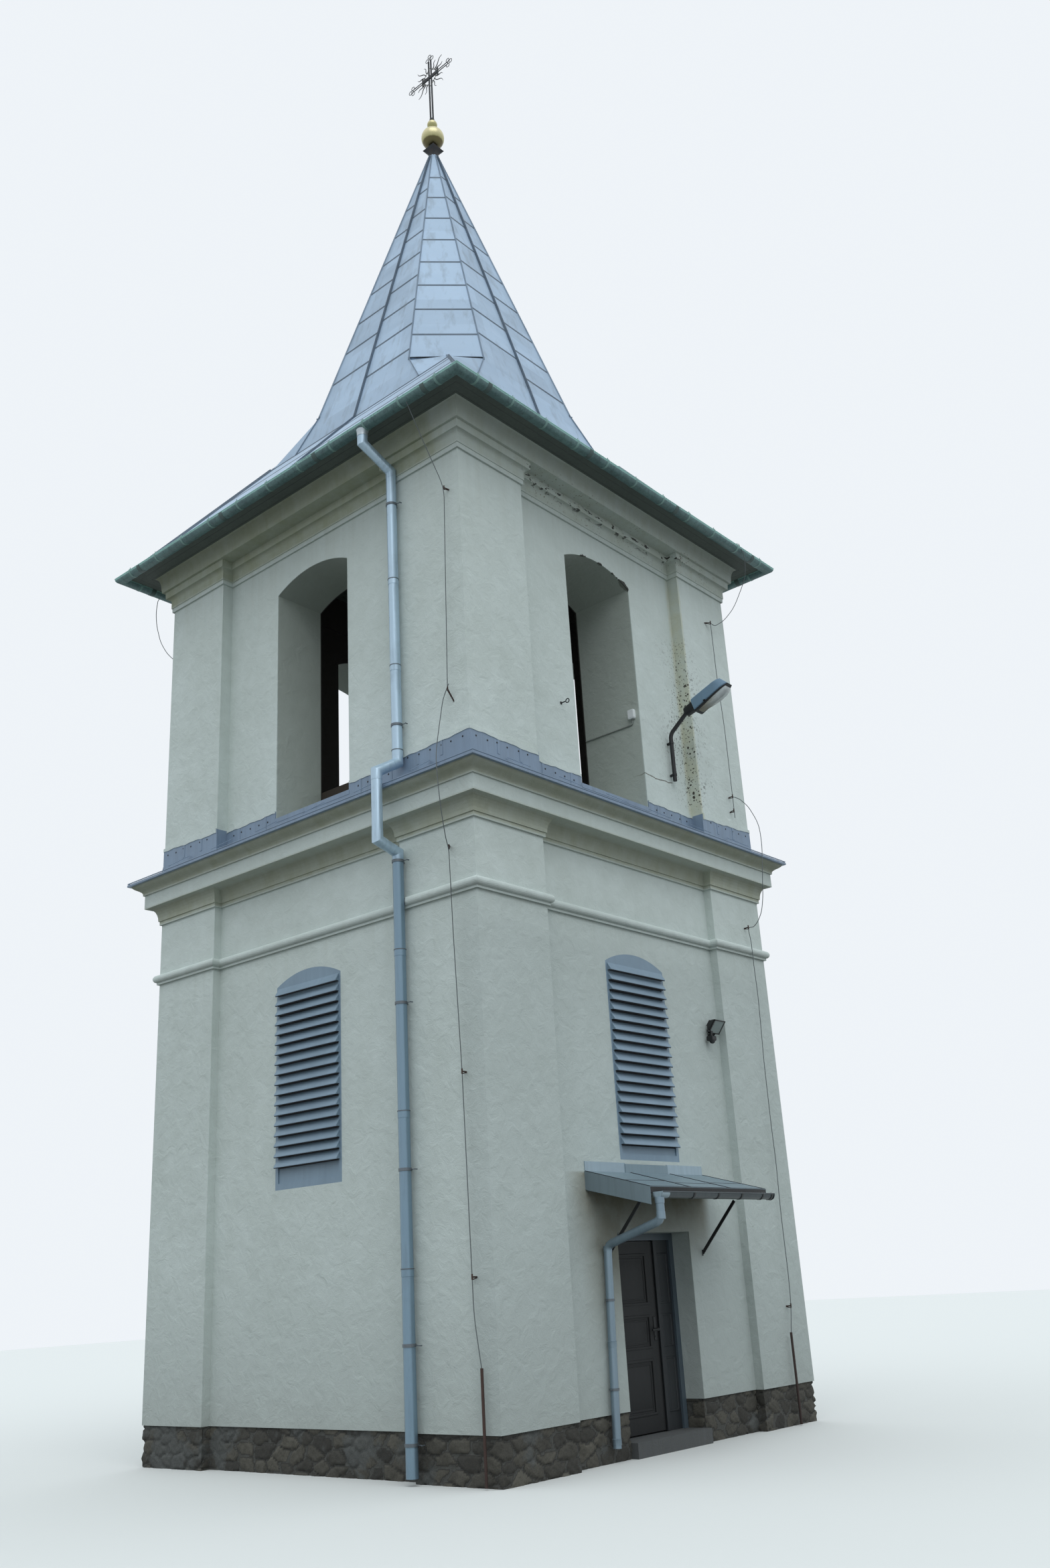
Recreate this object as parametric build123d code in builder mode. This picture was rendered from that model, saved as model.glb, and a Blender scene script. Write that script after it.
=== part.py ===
"""Bell tower: square plastered tower with belfry openings and an octagonal sheet-metal spire.

Frame: millimetres, origin on the ground at the middle of the plan, z up.
The door face looks along -Y, the face with the main downpipe looks along -X.
"""
import math
import os

from build123d import *

os.makedirs("parts", exist_ok=True)

# Plan of the two storeys
half = 2650            # centre to face of a corner pier
pier = 1070            # width of a corner pier on each face
low_recess = 101       # lower wall behind the pier face
up_recess = 154        # upper wall behind the pier face
low_inner = half - pier            # inner face of the lower walls
up_inner_front = half - 1032       # inner face of the upper door-side and back walls
up_inner_side = half - 859         # inner face of the upper side walls
low_face = half - low_recess
up_face = half - up_recess
pier_in = half - pier

# Heights, each built up from the one below
plinth_top = 412
band_z = 5303
cornice_z = band_z + 722
corona_z = cornice_z + 212
corona_top = corona_z + 171
cornice_top = cornice_z + 540
ledge_top = cornice_top + 438
sill_z = cornice_top + 346
spring_z = sill_z + 2977
up_cornice_z = spring_z + 489
up_cornice_top = up_cornice_z + 517
soffit_t = 36
eaves_z = up_cornice_top + soffit_t
fold_z = eaves_z + 1684
drip_z = fold_z + 530
spire_top = drip_z + 5300
ball_z = spire_top + 374
cross_z = ball_z + 1302

# How far the mouldings and the roof stand out
corona_half = half + 158
ledge_half = half + 317
soffit_half = half + 199
eaves_half = half + 490
eaves_edge = eaves_half - 57
fold_half = eaves_half - 1391

# Doorway, frame and leaves
door_left = -685
door_right = 580
door_top = 2050
floor_z = 148
frame_front = low_face - 227       # distance of the frame's front from the middle
frame_depth = 90
frame_w = 70
leaf_t = 50
leaf_gap = 7
leaf_split = door_right - 340

# Canopy over the door
can_left = door_left - 455
can_right = door_right + 362
can_wall_z = door_top + 590
can_edge_z = can_wall_z - 215

# Windows with fixed slats
win_half = 530
win_bottom_front = can_wall_z + 127
win_bottom = win_bottom_front - 75
win_spring = band_z - 438
win_rise = 128
slat_count = 18
slat_top_z = win_spring - 103
slat_low_z = win_bottom_front + 153
slat_out = 52          # lower edge of a slat in front of the wall
slat_end = 28          # from the end of a slat to the side of the window

# Upper openings
open_half = 644
open_rise = 159

# Main downpipe on the left face and the eaves gutter it hangs from
gutter_r = 76
gutter_t = 4
gutter_half = eaves_edge + gutter_r
gutter_z = eaves_z - 25
pipe_r = 60
outlet_y = -pier_in - 80
pipe_y = -pier_in - 92
pipe_low_y = -pier_in - 64
pipe_up_x = -half - 85
pipe_low_x = -half - 88
neck_x = -ledge_half - pipe_r - 8
pipe_run = [(-gutter_half, outlet_y, gutter_z - gutter_r + 3), (-gutter_half, outlet_y, gutter_z - 225),
            (pipe_up_x, pipe_y, gutter_z - 415), (pipe_up_x, pipe_y, cornice_top + 305),
            (neck_x, outlet_y, cornice_top + 131), (neck_x, outlet_y, cornice_z - 75),
            (pipe_low_x, pipe_low_y, cornice_z - 153), (pipe_low_x, pipe_low_y, 60)]


def outline(recess, t):
    """Plan outline of a storey with its four piers, moved outward by t."""
    h, r, a = half + t, half - recess + t, pier_in - t
    side = [(-h, -h), (-a, -h), (-a, -r), (a, -r), (a, -h)]
    pts = []
    for k in range(4):
        c, s = [(1, 0), (0, 1), (-1, 0), (0, -1)][k]
        pts += [(x * c - y * s, x * s + y * c) for x, y in side]
    return pts


def square(h):
    return [(-h, -h), (h, -h), (h, h), (-h, h)]


def stack(shape, levels):
    """Solid between plan outlines: levels are (z, outward offset)."""
    out = None
    for (z1, t1), (z2, t2) in zip(levels, levels[1:]):
        if z2 - z1 < 0.5:
            continue
        with BuildPart() as slab:
            with BuildSketch(Plane.XY.offset(z1)) as low:
                with BuildLine():
                    Polyline(*shape(t1), close=True)
                make_face()
            if abs(t1 - t2) < 0.01:
                extrude(amount=z2 - z1)
            else:
                with BuildSketch(Plane.XY.offset(z2)) as high:
                    with BuildLine():
                        Polyline(*shape(t2), close=True)
                    make_face()
                loft(ruled=True)
        out = slab.part if out is None else out + slab.part
    return out


def block(x1, x2, y1, y2, z1, z2):
    """Plain box between two corners, added to the part being built."""
    with Locations(((x1 + x2) / 2, (y1 + y2) / 2, (z1 + z2) / 2)):
        return Box(x2 - x1, y2 - y1, z2 - z1)


def cut_block(x1, x2, y1, y2, z1, z2):
    with Locations(((x1 + x2) / 2, (y1 + y2) / 2, (z1 + z2) / 2)):
        return Box(x2 - x1, y2 - y1, z2 - z1, mode=Mode.SUBTRACT)


def arch_wire(w, z1, z2, rise):
    """Closed outline of an opening with a flat segmental arch, in x and z."""
    Polyline((-w, z2), (-w, z1), (w, z1), (w, z2))
    ThreePointArc((w, z2), (0, z2 + rise), (-w, z2))


def side_plane(k, dist):
    """Plane on face k (0 door side, 1 right, 2 back, 3 left), local x along it, local y up."""
    nx, ny = [(0, -1), (1, 0), (0, 1), (-1, 0)][k]
    return Plane(origin=(nx * dist, ny * dist, 0), x_dir=(-ny, nx, 0), z_dir=(nx, ny, 0))


def cut_arch(k, dist, depth, w, z1, z2, rise):
    """Cut an arched opening inward from face k."""
    with BuildSketch(side_plane(k, dist)) as hole:
        with BuildLine():
            arch_wire(w, z1, z2, rise)
        make_face()
    extrude(hole.sketch, amount=-depth, mode=Mode.SUBTRACT)


def pipe(points, r, sides=12, mode=Mode.ADD):
    """Pipe of narrow flat panels along straight runs with mitred knees."""
    with BuildLine() as path:
        Polyline(*points)
    d = Vector(*points[1]) - Vector(*points[0])
    with BuildSketch(Plane(origin=points[0], z_dir=d)) as ring:
        RegularPolygon(r, sides)
    return sweep(ring.sketch, path=path.line, transition=Transition.RIGHT, mode=mode)


def collar(x, y, z, r, height):
    """Clamp round an upright pipe, centred at a height."""
    with BuildSketch(Plane.XY.offset(z - height / 2)) as band:
        with Locations((x, y)):
            RegularPolygon(r, 12)
    return extrude(band.sketch, amount=height)


def facets(*rings):
    """Solid between closed rings of points at rising heights, with flat triangular side panels."""
    faces = [Face(Wire.make_polygon([Vector(*p) for p in rings[0]], close=True)),
             Face(Wire.make_polygon([Vector(*p) for p in rings[-1]], close=True))]
    for low, high in zip(rings, rings[1:]):
        n = len(low)
        for i in range(n):
            j = (i + 1) % n
            for tri in ((low[i], low[j], high[j]), (low[i], high[j], high[i])):
                faces.append(Face(Wire.make_polygon([Vector(*p) for p in tri], close=True)))
    return Solid(Shell(faces))


def at_height(points, z):
    return [(x, y, z) for x, y in points]


def turned(profile, sides=32):
    """Turned solid about the z axis from (radius, z) pairs, as flat panels."""
    rings = []
    for r, z in profile:
        ring = [(r * math.cos(2 * math.pi * i / sides), r * math.sin(2 * math.pi * i / sides), z) for i in range(sides)]
        rings.append(ring)
    return facets(*rings)


def prism(points, x1, x2):
    """Straight bar from x1 to x2 with an outline given as y and z."""
    with BuildSketch(Plane(origin=(x1, 0, 0), x_dir=(0, 1, 0), z_dir=(1, 0, 0))) as prof:
        with BuildLine():
            Polyline(*points, close=True)
        make_face()
    return extrude(prof.sketch, amount=x2 - x1)


def save(part, name):
    part.label = name
    export_step(part, "parts/" + name + ".step")


# Plinth of rubble stone, split at the doorway
plinth_in = 12
pl_face = low_face - plinth_in
pl_half = half - plinth_in
with BuildPart() as plinth_left:
    block(-pl_half, -pier_in, -pl_half, pl_half, 0, plinth_top)
    cut_block(-pl_half - 1, -pl_face, -pier_in, pier_in, -1, plinth_top + 1)
save(plinth_left.part, "plinth_left")
with BuildPart() as plinth_right:
    block(pier_in, pl_half, -pl_half, pl_half, 0, plinth_top)
    cut_block(pl_face, pl_half + 1, -pier_in, pier_in, -1, plinth_top + 1)
save(plinth_right.part, "plinth_right")
with BuildPart() as plinth_back:
    block(-pier_in, pier_in, low_inner, pl_face, 0, plinth_top)
save(plinth_back.part, "plinth_back")
with BuildPart() as plinth_front_left:
    block(-pier_in, door_left, -pl_face, -low_inner, 0, plinth_top)
save(plinth_front_left.part, "plinth_front_left")
with BuildPart() as plinth_front_right:
    block(door_right, pier_in, -pl_face, -low_inner, 0, plinth_top)
save(plinth_front_right.part, "plinth_front_right")

# Floor inside and doorstep
step_out = 60
with BuildPart() as ground_floor:
    block(-low_inner, low_inner, -low_inner, low_inner, 0, floor_z - 8)
save(ground_floor.part, "ground_floor")
with BuildPart() as doorstep:
    block(door_left, door_right, -low_face - step_out, -low_inner, 0, floor_z - 8)
save(doorstep.part, "doorstep")

# Lower storey walls; each side wall carries its two corner piers
with BuildPart() as lower_wall_left:
    block(-half, -pier_in, -half, half, plinth_top, cornice_top)
    cut_block(-half - 1, -low_face, -pier_in, pier_in, plinth_top - 1, cornice_top + 1)
    cut_arch(3, half, pier + 1, win_half, win_bottom, win_spring, win_rise)
save(lower_wall_left.part, "lower_wall_left")
with BuildPart() as lower_wall_right:
    block(pier_in, half, -half, half, plinth_top, cornice_top)
    cut_block(low_face, half + 1, -pier_in, pier_in, plinth_top - 1, cornice_top + 1)
    cut_arch(1, half, pier + 1, win_half, win_bottom, win_spring, win_rise)
save(lower_wall_right.part, "lower_wall_right")
with BuildPart() as lower_wall_back:
    block(-pier_in, pier_in, low_inner, low_face, plinth_top, cornice_top)
    cut_arch(2, half, pier + 1, win_half, win_bottom, win_spring, win_rise)
save(lower_wall_back.part, "lower_wall_back")
with BuildPart() as lower_wall_door_left:
    block(-pier_in, door_left, -low_face, -low_inner, plinth_top, door_top)
save(lower_wall_door_left.part, "lower_wall_door_left")
with BuildPart() as lower_wall_door_right:
    block(door_right, pier_in, -low_face, -low_inner, plinth_top, door_top)
save(lower_wall_door_right.part, "lower_wall_door_right")
with BuildPart() as lower_wall_over_door:
    block(-pier_in, pier_in, -low_face, -low_inner, door_top, cornice_top)
    cut_arch(0, half, pier + 1, win_half, win_bottom_front, win_spring, win_rise)
save(lower_wall_over_door.part, "lower_wall_over_door")

# Round string course below the frieze
band_h = 92
band_out = 62
fillet_h = 26
fillet_out = 26
steps = 8
band_levels = [(band_z - fillet_h, 0), (band_z - fillet_h, fillet_out), (band_z, fillet_out)]
for i in range(steps + 1):
    a = math.pi * i / steps
    band_levels.append((band_z + band_h / 2 * (1 - math.cos(a)), fillet_out + (band_out - fillet_out) * math.sin(a)))
with BuildPart() as string_course:
    add(stack(lambda t: outline(low_recess, t), band_levels[1:]))
    with BuildSketch(Plane.XY.offset(band_z - fillet_h)):
        with BuildLine():
            Polyline(*outline(low_recess, 0), close=True)
        make_face()
    extrude(amount=band_h + fillet_h, mode=Mode.SUBTRACT)
    pipe([(pipe_low_x, pipe_low_y, band_z - 200), (pipe_low_x, pipe_low_y, band_z + 200)], pipe_r + 5,
         mode=Mode.SUBTRACT)
save(string_course.part, "string_course")

# Lower cornice round the walls: broken ovolo, then a straight corona, fillet and cyma
broken = [(cornice_z, 22), (cornice_z + 48, 22)]
for i in range(7):
    a = math.pi / 2 * i / 6
    broken.append((cornice_z + 48 + (corona_z - cornice_z - 48) * math.sin(a), 34 + 90 * (1 - math.cos(a))))
straight = [(corona_z, corona_half), (corona_top, corona_half), (corona_top, corona_half + 18),
            (corona_top + 22, corona_half + 18)]
for i in range(1, 9):
    u = i / 8
    straight.append((corona_top + 22 + 100 * u, corona_half + 18 + 104 * (u - math.sin(2 * math.pi * u) / 9)))
edge_z = straight[-1][0]
with BuildPart() as lower_cornice:
    add(stack(lambda t: outline(low_recess, t), broken))
    add(stack(square, straight))
    block(-half, half, -half, half, edge_z, cornice_top)
    with BuildSketch(Plane.XY.offset(cornice_z - 1)):
        with BuildLine():
            Polyline(*outline(low_recess, 0), close=True)
        make_face()
    extrude(amount=cornice_top - cornice_z + 2, mode=Mode.SUBTRACT)
save(lower_cornice.part, "lower_cornice")

# Sheet-metal ledge with an upstand round the foot of the upper storey
ledge_t = 16
upstand_t = 10
ledge_rise = 90
with BuildPart() as ledge_flashing:
    add(stack(square, [(edge_z, ledge_half), (edge_z + ledge_t + 10, ledge_half)]))
    add(stack(square, [(edge_z + ledge_t + 10, ledge_half), (cornice_top + ledge_rise, half + upstand_t)]))
    with BuildSketch(Plane.XY.offset(edge_z - 1)):
        with BuildLine():
            Polyline(*square(half), close=True)
        make_face()
    extrude(amount=cornice_top + ledge_rise - edge_z + 2, mode=Mode.SUBTRACT)
    with BuildSketch(Plane.XY.offset(cornice_top)):
        with BuildLine():
            Polyline(*outline(up_recess, upstand_t), close=True)
        make_face()
        with BuildLine():
            Polyline(*outline(up_recess, 0), close=True)
        make_face(mode=Mode.SUBTRACT)
    extrude(amount=ledge_top - cornice_top)
    for k in range(4):
        with BuildSketch(side_plane(k, half - up_recess - 5)):
            with Locations((0, ledge_top)):
                Rectangle(2 * open_half, 2 * (ledge_top - sill_z) + 80)
        extrude(amount=40, mode=Mode.SUBTRACT)
    with BuildSketch(Plane.XY.offset(cornice_top)):
        with BuildLine():
            Polyline(*square(half), close=True)
        make_face()
        with BuildLine():
            Polyline(*outline(up_recess, 0), close=True)
        make_face(mode=Mode.SUBTRACT)
    extrude(amount=upstand_t)
save(ledge_flashing.part, "ledge_flashing")

# Belfry floor, let in between the walls
with BuildPart() as belfry_floor:
    block(-low_inner, low_inner, -low_inner, low_inner, cornice_top - 200, cornice_top)
save(belfry_floor.part, "belfry_floor")

# Upper storey walls; the side walls carry the corner piers
for name, k in (("upper_wall_right", 1), ("upper_wall_left", 3)):
    sx = 1 if k == 1 else -1
    with BuildPart() as wall:
        xs = sorted((sx * up_inner_side, sx * up_face))
        block(xs[0], xs[1], -pier_in, pier_in, cornice_top, up_cornice_z)
        xs = sorted((sx * pier_in, sx * half))
        for sy in (-1, 1):
            ys = sorted((sy * pier_in, sy * half))
            block(xs[0], xs[1], ys[0], ys[1], cornice_top, up_cornice_z)
        cut_arch(k, half, pier + 1, open_half, sill_z, spring_z, open_rise)
    save(wall.part, name)
for name, k in (("upper_wall_front", 0), ("upper_wall_back", 2)):
    sy = -1 if k == 0 else 1
    with BuildPart() as wall:
        ys = sorted((sy * up_inner_front, sy * up_face))
        block(-pier_in, pier_in, ys[0], ys[1], cornice_top, up_cornice_z)
        cut_arch(k, half, pier + 1, open_half, sill_z, spring_z, open_rise)
    save(wall.part, name)

# Timber rails behind the side openings
rail_top = sill_z + 500
rail_h = 180
rail_t = 60
with BuildPart() as belfry_rails:
    for s in (-1, 1):
        xs = sorted((s * up_inner_side, s * (up_inner_side - rail_t)))
        block(xs[0], xs[1], -open_half - 100, open_half + 100, rail_top - rail_h, rail_top)
save(belfry_rails.part, "belfry_rails")

# Upper cornice
crown = [(up_cornice_z, 22), (up_cornice_z + 59, 25), (up_cornice_z + 59, 33), (up_cornice_z + 154, 33)]
for i in range(1, 6):
    a = math.pi / 2 * i / 5
    crown.append((up_cornice_z + 154 + 52 * math.sin(a), 33 + 56 * (1 - math.cos(a))))
crown += [(up_cornice_z + 302, 96), (up_cornice_z + 302, 128), (up_cornice_z + 354, 135)]
for i in range(1, 6):
    a = math.pi / 2 * i / 5
    crown.append((up_cornice_z + 354 + (up_cornice_top - up_cornice_z - 354) * math.sin(a),
                  135 + (soffit_half - half - 135) * (1 - math.cos(a))))
crown_break = up_cornice_z + 302
with BuildPart() as upper_cornice:
    add(stack(lambda t: outline(up_recess, t), [p for p in crown if p[0] <= crown_break and p[1] <= 96]))
    add(stack(lambda t: square(half + t), [p for p in crown if p[0] >= crown_break and p[1] > 96]))
    cut_block(-pier_in, pier_in, -pier_in, pier_in, up_cornice_z - 1, up_cornice_top + 1)
    pipe(pipe_run[1:4], pipe_r + 5, mode=Mode.SUBTRACT)
save(upper_cornice.part, "upper_cornice")

# Boarded soffit, carried on the cornice; its inner part is the deck over the belfry
with BuildPart() as eaves_soffit:
    block(-eaves_edge, eaves_edge, -eaves_edge, eaves_edge, up_cornice_top, eaves_z)
save(eaves_soffit.part, "eaves_soffit")

# Roof: square skirt, then an octagonal spire
skirt_t = 70
tilt = math.hypot(eaves_half - fold_half, fold_z - eaves_z) / (fold_z - eaves_z)
skirt_in = skirt_t * tilt
with BuildPart() as roof_skirt:
    add(facets(at_height(square(eaves_half), eaves_z), at_height(square(fold_half), fold_z)))
    add(facets(at_height(square(eaves_half - skirt_in), eaves_z), at_height(square(fold_half - skirt_in), fold_z)),
        mode=Mode.SUBTRACT)
save(roof_skirt.part, "roof_skirt")


def octagon(c, b):
    """Spire outline: side distance c, half width of a main facet b."""
    return [(-b, -c), (b, -c), (c, -b), (c, b), (b, c), (-b, c), (-c, b), (-c, -b)]


def dodecagon(c, b, h):
    """As the octagon, with a hip point at each corner."""
    return [(-b, -c), (b, -c), (h, -h), (c, -b), (c, b), (h, h), (b, c), (-b, c), (-h, h), (-c, b), (-c, -b), (-h, -h)]


fold_b = fold_half - 530
drip_c = fold_half - 152
drip_b = drip_c - 696
hip = drip_c - 307
tip_c = 53
tip_b = 21
spire_t = 75
drip_t = 12
drip_out = 42
with BuildPart() as roof_spire:
    add(facets(at_height(octagon(drip_c, drip_b), drip_z), at_height(octagon(tip_c, tip_b), spire_top)))
    add(facets(at_height(octagon(drip_c, drip_b + drip_out), drip_z - drip_t),
               at_height(octagon(drip_c, drip_b + drip_out), drip_z)))
    add(facets(at_height(dodecagon(fold_half, fold_b, fold_half), fold_z),
               at_height(dodecagon(drip_c, drip_b, hip), drip_z)))
    add(facets(at_height(dodecagon(fold_half - spire_t, fold_b - 39, fold_half - spire_t), fold_z),
               at_height(dodecagon(drip_c - spire_t, drip_b - 30, hip - spire_t), drip_z - spire_t)),
        mode=Mode.SUBTRACT)
    add(facets(at_height(octagon(drip_c - spire_t, drip_b - 31), drip_z - spire_t),
               at_height(octagon(60, 25), spire_top - 420)), mode=Mode.SUBTRACT)
save(roof_spire.part, "roof_spire")

# Half-round gutter round the eaves
with BuildPart() as eaves_gutter:
    with BuildSketch(Plane(origin=(0, -gutter_half, gutter_z), x_dir=(0, -1, 0), z_dir=(1, 0, 0))) as prof:
        RegularPolygon(gutter_r, 16)
        RegularPolygon(gutter_r - gutter_t, 16, mode=Mode.SUBTRACT)
        with Locations((0, -gutter_r)):
            Rectangle(3 * gutter_r, 2 * gutter_r, mode=Mode.SUBTRACT)
    with BuildLine() as ring_path:
        Polyline((0, -gutter_half, gutter_z), (gutter_half, -gutter_half, gutter_z),
                 (gutter_half, gutter_half, gutter_z), (-gutter_half, gutter_half, gutter_z),
                 (-gutter_half, -gutter_half, gutter_z), (0, -gutter_half, gutter_z))
    sweep(prof.sketch, path=ring_path.line, transition=Transition.RIGHT)
    for k in range(4):
        for i in range(7):
            v = (i - 3) * 940
            p = side_plane(k, gutter_half - gutter_r)
            with BuildSketch(p):
                with Locations((v, gutter_z - 3)):
                    Rectangle(28, 6)
            extrude(amount=2 * gutter_r - 2)
save(eaves_gutter.part, "eaves_gutter")

# Main downpipe on the left face
with BuildPart() as downpipe:
    pipe(pipe_run, pipe_r)
    with BuildSketch(Plane.XY.offset(gutter_z - gutter_r - 4)):
        with Locations((-gutter_half, outlet_y)):
            RegularPolygon(pipe_r, 12)
    extrude(amount=gutter_r)
    with Locations((-gutter_half, outlet_y, gutter_z)):
        Cylinder(gutter_r + 40, 2 * gutter_r, rotation=(90, 0, 0), mode=Mode.SUBTRACT)
    for z in (up_cornice_z - 197, up_cornice_z - 1227, cornice_top + 825, band_z + 387, band_z - 1403, band_z - 3203,
              plinth_top + 188):
        up = z > cornice_top
        x, y, wall_x = (pipe_up_x, pipe_y, -half) if up else (pipe_low_x, pipe_low_y, -half)
        collar(x, y, z, pipe_r + 6, 44)
        block(x, wall_x, y - 8, y + 8, z - 12, z + 12)
save(downpipe.part, "downpipe")

# Windows with fixed slats
for name, k in (("louvre_front", 0), ("louvre_right", 1), ("louvre_back", 2), ("louvre_left", 3)):
    bottom = win_bottom_front if k == 0 else win_bottom
    with BuildPart() as louvre:
        with BuildSketch(side_plane(k, low_face)):
            with BuildLine():
                arch_wire(win_half, bottom, win_spring, win_rise)
            make_face()
        extrude(amount=-90)
        with BuildSketch(side_plane(k, low_face + 1)):
            with Locations((0, (bottom + slat_top_z) / 2 + 10)):
                Rectangle(2 * win_half - 90, slat_top_z - bottom - 110)
        extrude(amount=-92, mode=Mode.SUBTRACT)
        for i in range(slat_count):
            z = slat_top_z - (slat_top_z - slat_low_z) * i / (slat_count - 1)
            pl = side_plane(k, low_face)
            with BuildSketch(Plane(origin=pl.origin + pl.x_dir * (win_half - slat_end), x_dir=pl.z_dir,
                                   z_dir=-pl.x_dir)):
                with BuildLine():
                    Polyline((-20, z + 118), (slat_out, z + 6), (slat_out, z), (slat_out - 12, z),
                             (-27, z + 112), close=True)
                make_face()
            extrude(amount=2 * (win_half - slat_end))
        low_edge = slat_low_z - 4
        with BuildSketch(side_plane(k, low_face - 12)):
            with Locations((0, (bottom + low_edge) / 2)):
                Rectangle(2 * win_half - 40, low_edge - bottom)
        extrude(amount=-60)
    save(louvre.part, name)

# Door frame, fixed side leaf and the leaf that opens
fy = -frame_front
leaf_y = fy + 28
knuckle_r = 9
pin_r = 5
pin_play = 0.06
hinge_x = door_left + frame_w + leaf_gap + knuckle_r
hinge_y = leaf_y + leaf_t + 15
hinge_rows = (floor_z + 282, (floor_z + door_top + 2) / 2, door_top - 280)
with BuildPart() as door_frame:
    block(door_left, door_right, fy, fy + frame_depth, floor_z - 8, door_top)
    cut_block(door_left + frame_w, door_right - frame_w, fy - 1, fy + frame_depth + 1, floor_z - 9,
              door_top - frame_w)
    for z in hinge_rows:
        block(door_left + 45, hinge_x, fy + frame_depth, fy + frame_depth + 7, z - 60, z - 3)
        with Locations((hinge_x, hinge_y, z - 31.5)):
            Cylinder(knuckle_r, 57)
        with Locations((hinge_x, hinge_y, z)):
            Cylinder(pin_r, 110)
save(door_frame.part, "door_frame")
strip_gap = 6                      # the cover strip stands clear of the leaf that opens
strip_top = door_top - frame_w - 8
with BuildPart() as side_leaf:
    block(leaf_split + 3, door_right - frame_w, leaf_y, leaf_y + leaf_t, floor_z - 8, door_top - frame_w)
    block(leaf_split + 3, leaf_split + 40, leaf_y - strip_gap - 1, leaf_y, floor_z + 2, strip_top)
    block(leaf_split - 14, leaf_split + 40, leaf_y - strip_gap - 16, leaf_y - strip_gap, floor_z + 2, strip_top)
save(side_leaf.part, "side_leaf")
with BuildPart() as door_leaf:
    block(door_left + frame_w + leaf_gap, leaf_split - leaf_gap, leaf_y, leaf_y + leaf_t, floor_z + leaf_gap,
          door_top - frame_w - leaf_gap)
    for z1, z2 in ((floor_z + 172, floor_z + 672), (floor_z + 792, floor_z + 1092), (floor_z + 1212, door_top - 210)):
        cut_block(door_left + 205, leaf_split - 150, leaf_y - 1, leaf_y + 8, z1, z2)
    block(leaf_split - 90, leaf_split - 62, leaf_y - 46, leaf_y, floor_z + 942, floor_z + 970)
    block(leaf_split - 180, leaf_split - 62, leaf_y - 58, leaf_y - 46, floor_z + 946, floor_z + 966)
    for z in hinge_rows:
        block(hinge_x - knuckle_r, hinge_x + 24, leaf_y + leaf_t, hinge_y, z + 2, z + 57)
        with Locations((hinge_x, hinge_y, z + 29.5)):
            Cylinder(knuckle_r, 55)
            Cylinder(pin_r + pin_play, 55, mode=Mode.SUBTRACT)
save(door_leaf.part, "door_leaf")

# Canopy over the door: sloped roof box with its flashing
can_out = 790
can_t = 165
can_face = low_face
strut_out = 450
strut_z = can_wall_z - 760


def under(out):
    """Height of the canopy's underside at a distance from the wall."""
    return can_wall_z - can_t - 20 + (can_edge_z - can_wall_z + 20) * out / can_out


with BuildPart() as canopy:
    prism([(-can_face, can_wall_z), (-can_face, under(0)), (-can_face - can_out, under(can_out)),
           (-can_face - can_out, can_edge_z)], can_left, can_right)
    block(can_left, can_right, -can_face - 10, -can_face, can_wall_z - 10, can_wall_z + 96)
    for x, foot_w in ((can_left + 270, 12), (can_right - 140, 25)):
        outer = -can_face - strut_out
        prism([(-can_face, strut_z), (-can_face, strut_z - 38), (outer, under(strut_out) - 40),
               (outer, under(strut_out) + 5),
               (outer + 60, under(strut_out - 60) + 5), (outer + 60, under(strut_out) - 40)], x - 6, x + 6)
        block(x - foot_w, x + foot_w, -can_face - 8, -can_face, strut_z - 50, strut_z + 55)
save(canopy.part, "canopy")

# Canopy gutter with its thin downpipe
cg_r = 55
cg_y = -can_face - can_out - 58
cg_z = can_edge_z - 62
cp_r = 43              # thin downpipe, leaning a little as it stands
cp_x = can_left + 50
cp_top_x = can_left + 205
cp_low_x = can_left + 130
cp_high = can_edge_z - 495
cp_low = 130
with BuildPart() as canopy_gutter:
    with BuildSketch(Plane(origin=(can_left + 30, cg_y, cg_z), x_dir=(0, 1, 0), z_dir=(1, 0, 0))):
        RegularPolygon(cg_r, 16)
        RegularPolygon(cg_r - 4, 16, mode=Mode.SUBTRACT)
        with Locations((0, cg_r)):
            Rectangle(3 * cg_r, 2 * cg_r, mode=Mode.SUBTRACT)
    extrude(amount=can_right - can_left + 30)
    for x in (can_left + 30, can_right + 56):
        with BuildSketch(Plane(origin=(x, cg_y, cg_z), x_dir=(0, 1, 0), z_dir=(1, 0, 0))):
            RegularPolygon(cg_r, 16)
            with Locations((0, cg_r)):
                Rectangle(3 * cg_r, 2 * cg_r, mode=Mode.SUBTRACT)
        extrude(amount=4)
    for i in range(4):
        x = can_left + 200 + i * 550
        block(x, x + 24, cg_y + cg_r - 6, -can_face - can_out, cg_z - 12, cg_z + 12)
    pipe([(cp_x, cg_y, cg_z - cg_r + 2), (cp_x, cg_y, can_edge_z - 312), (cp_top_x, -can_face - 62, cp_high),
          (cp_low_x, -can_face - 62, cp_low)], cp_r)
    for z in (cp_high - 506, cp_low + 510):
        x = cp_low_x + (cp_top_x - cp_low_x) * (z - cp_low) / (cp_high - cp_low)
        collar(x, -can_face - 62, z, cp_r + 6, 40)
        block(x - 8, x + 8, -can_face - 62, -can_face, z - 12, z + 12)
save(canopy_gutter.part, "canopy_gutter")

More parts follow.
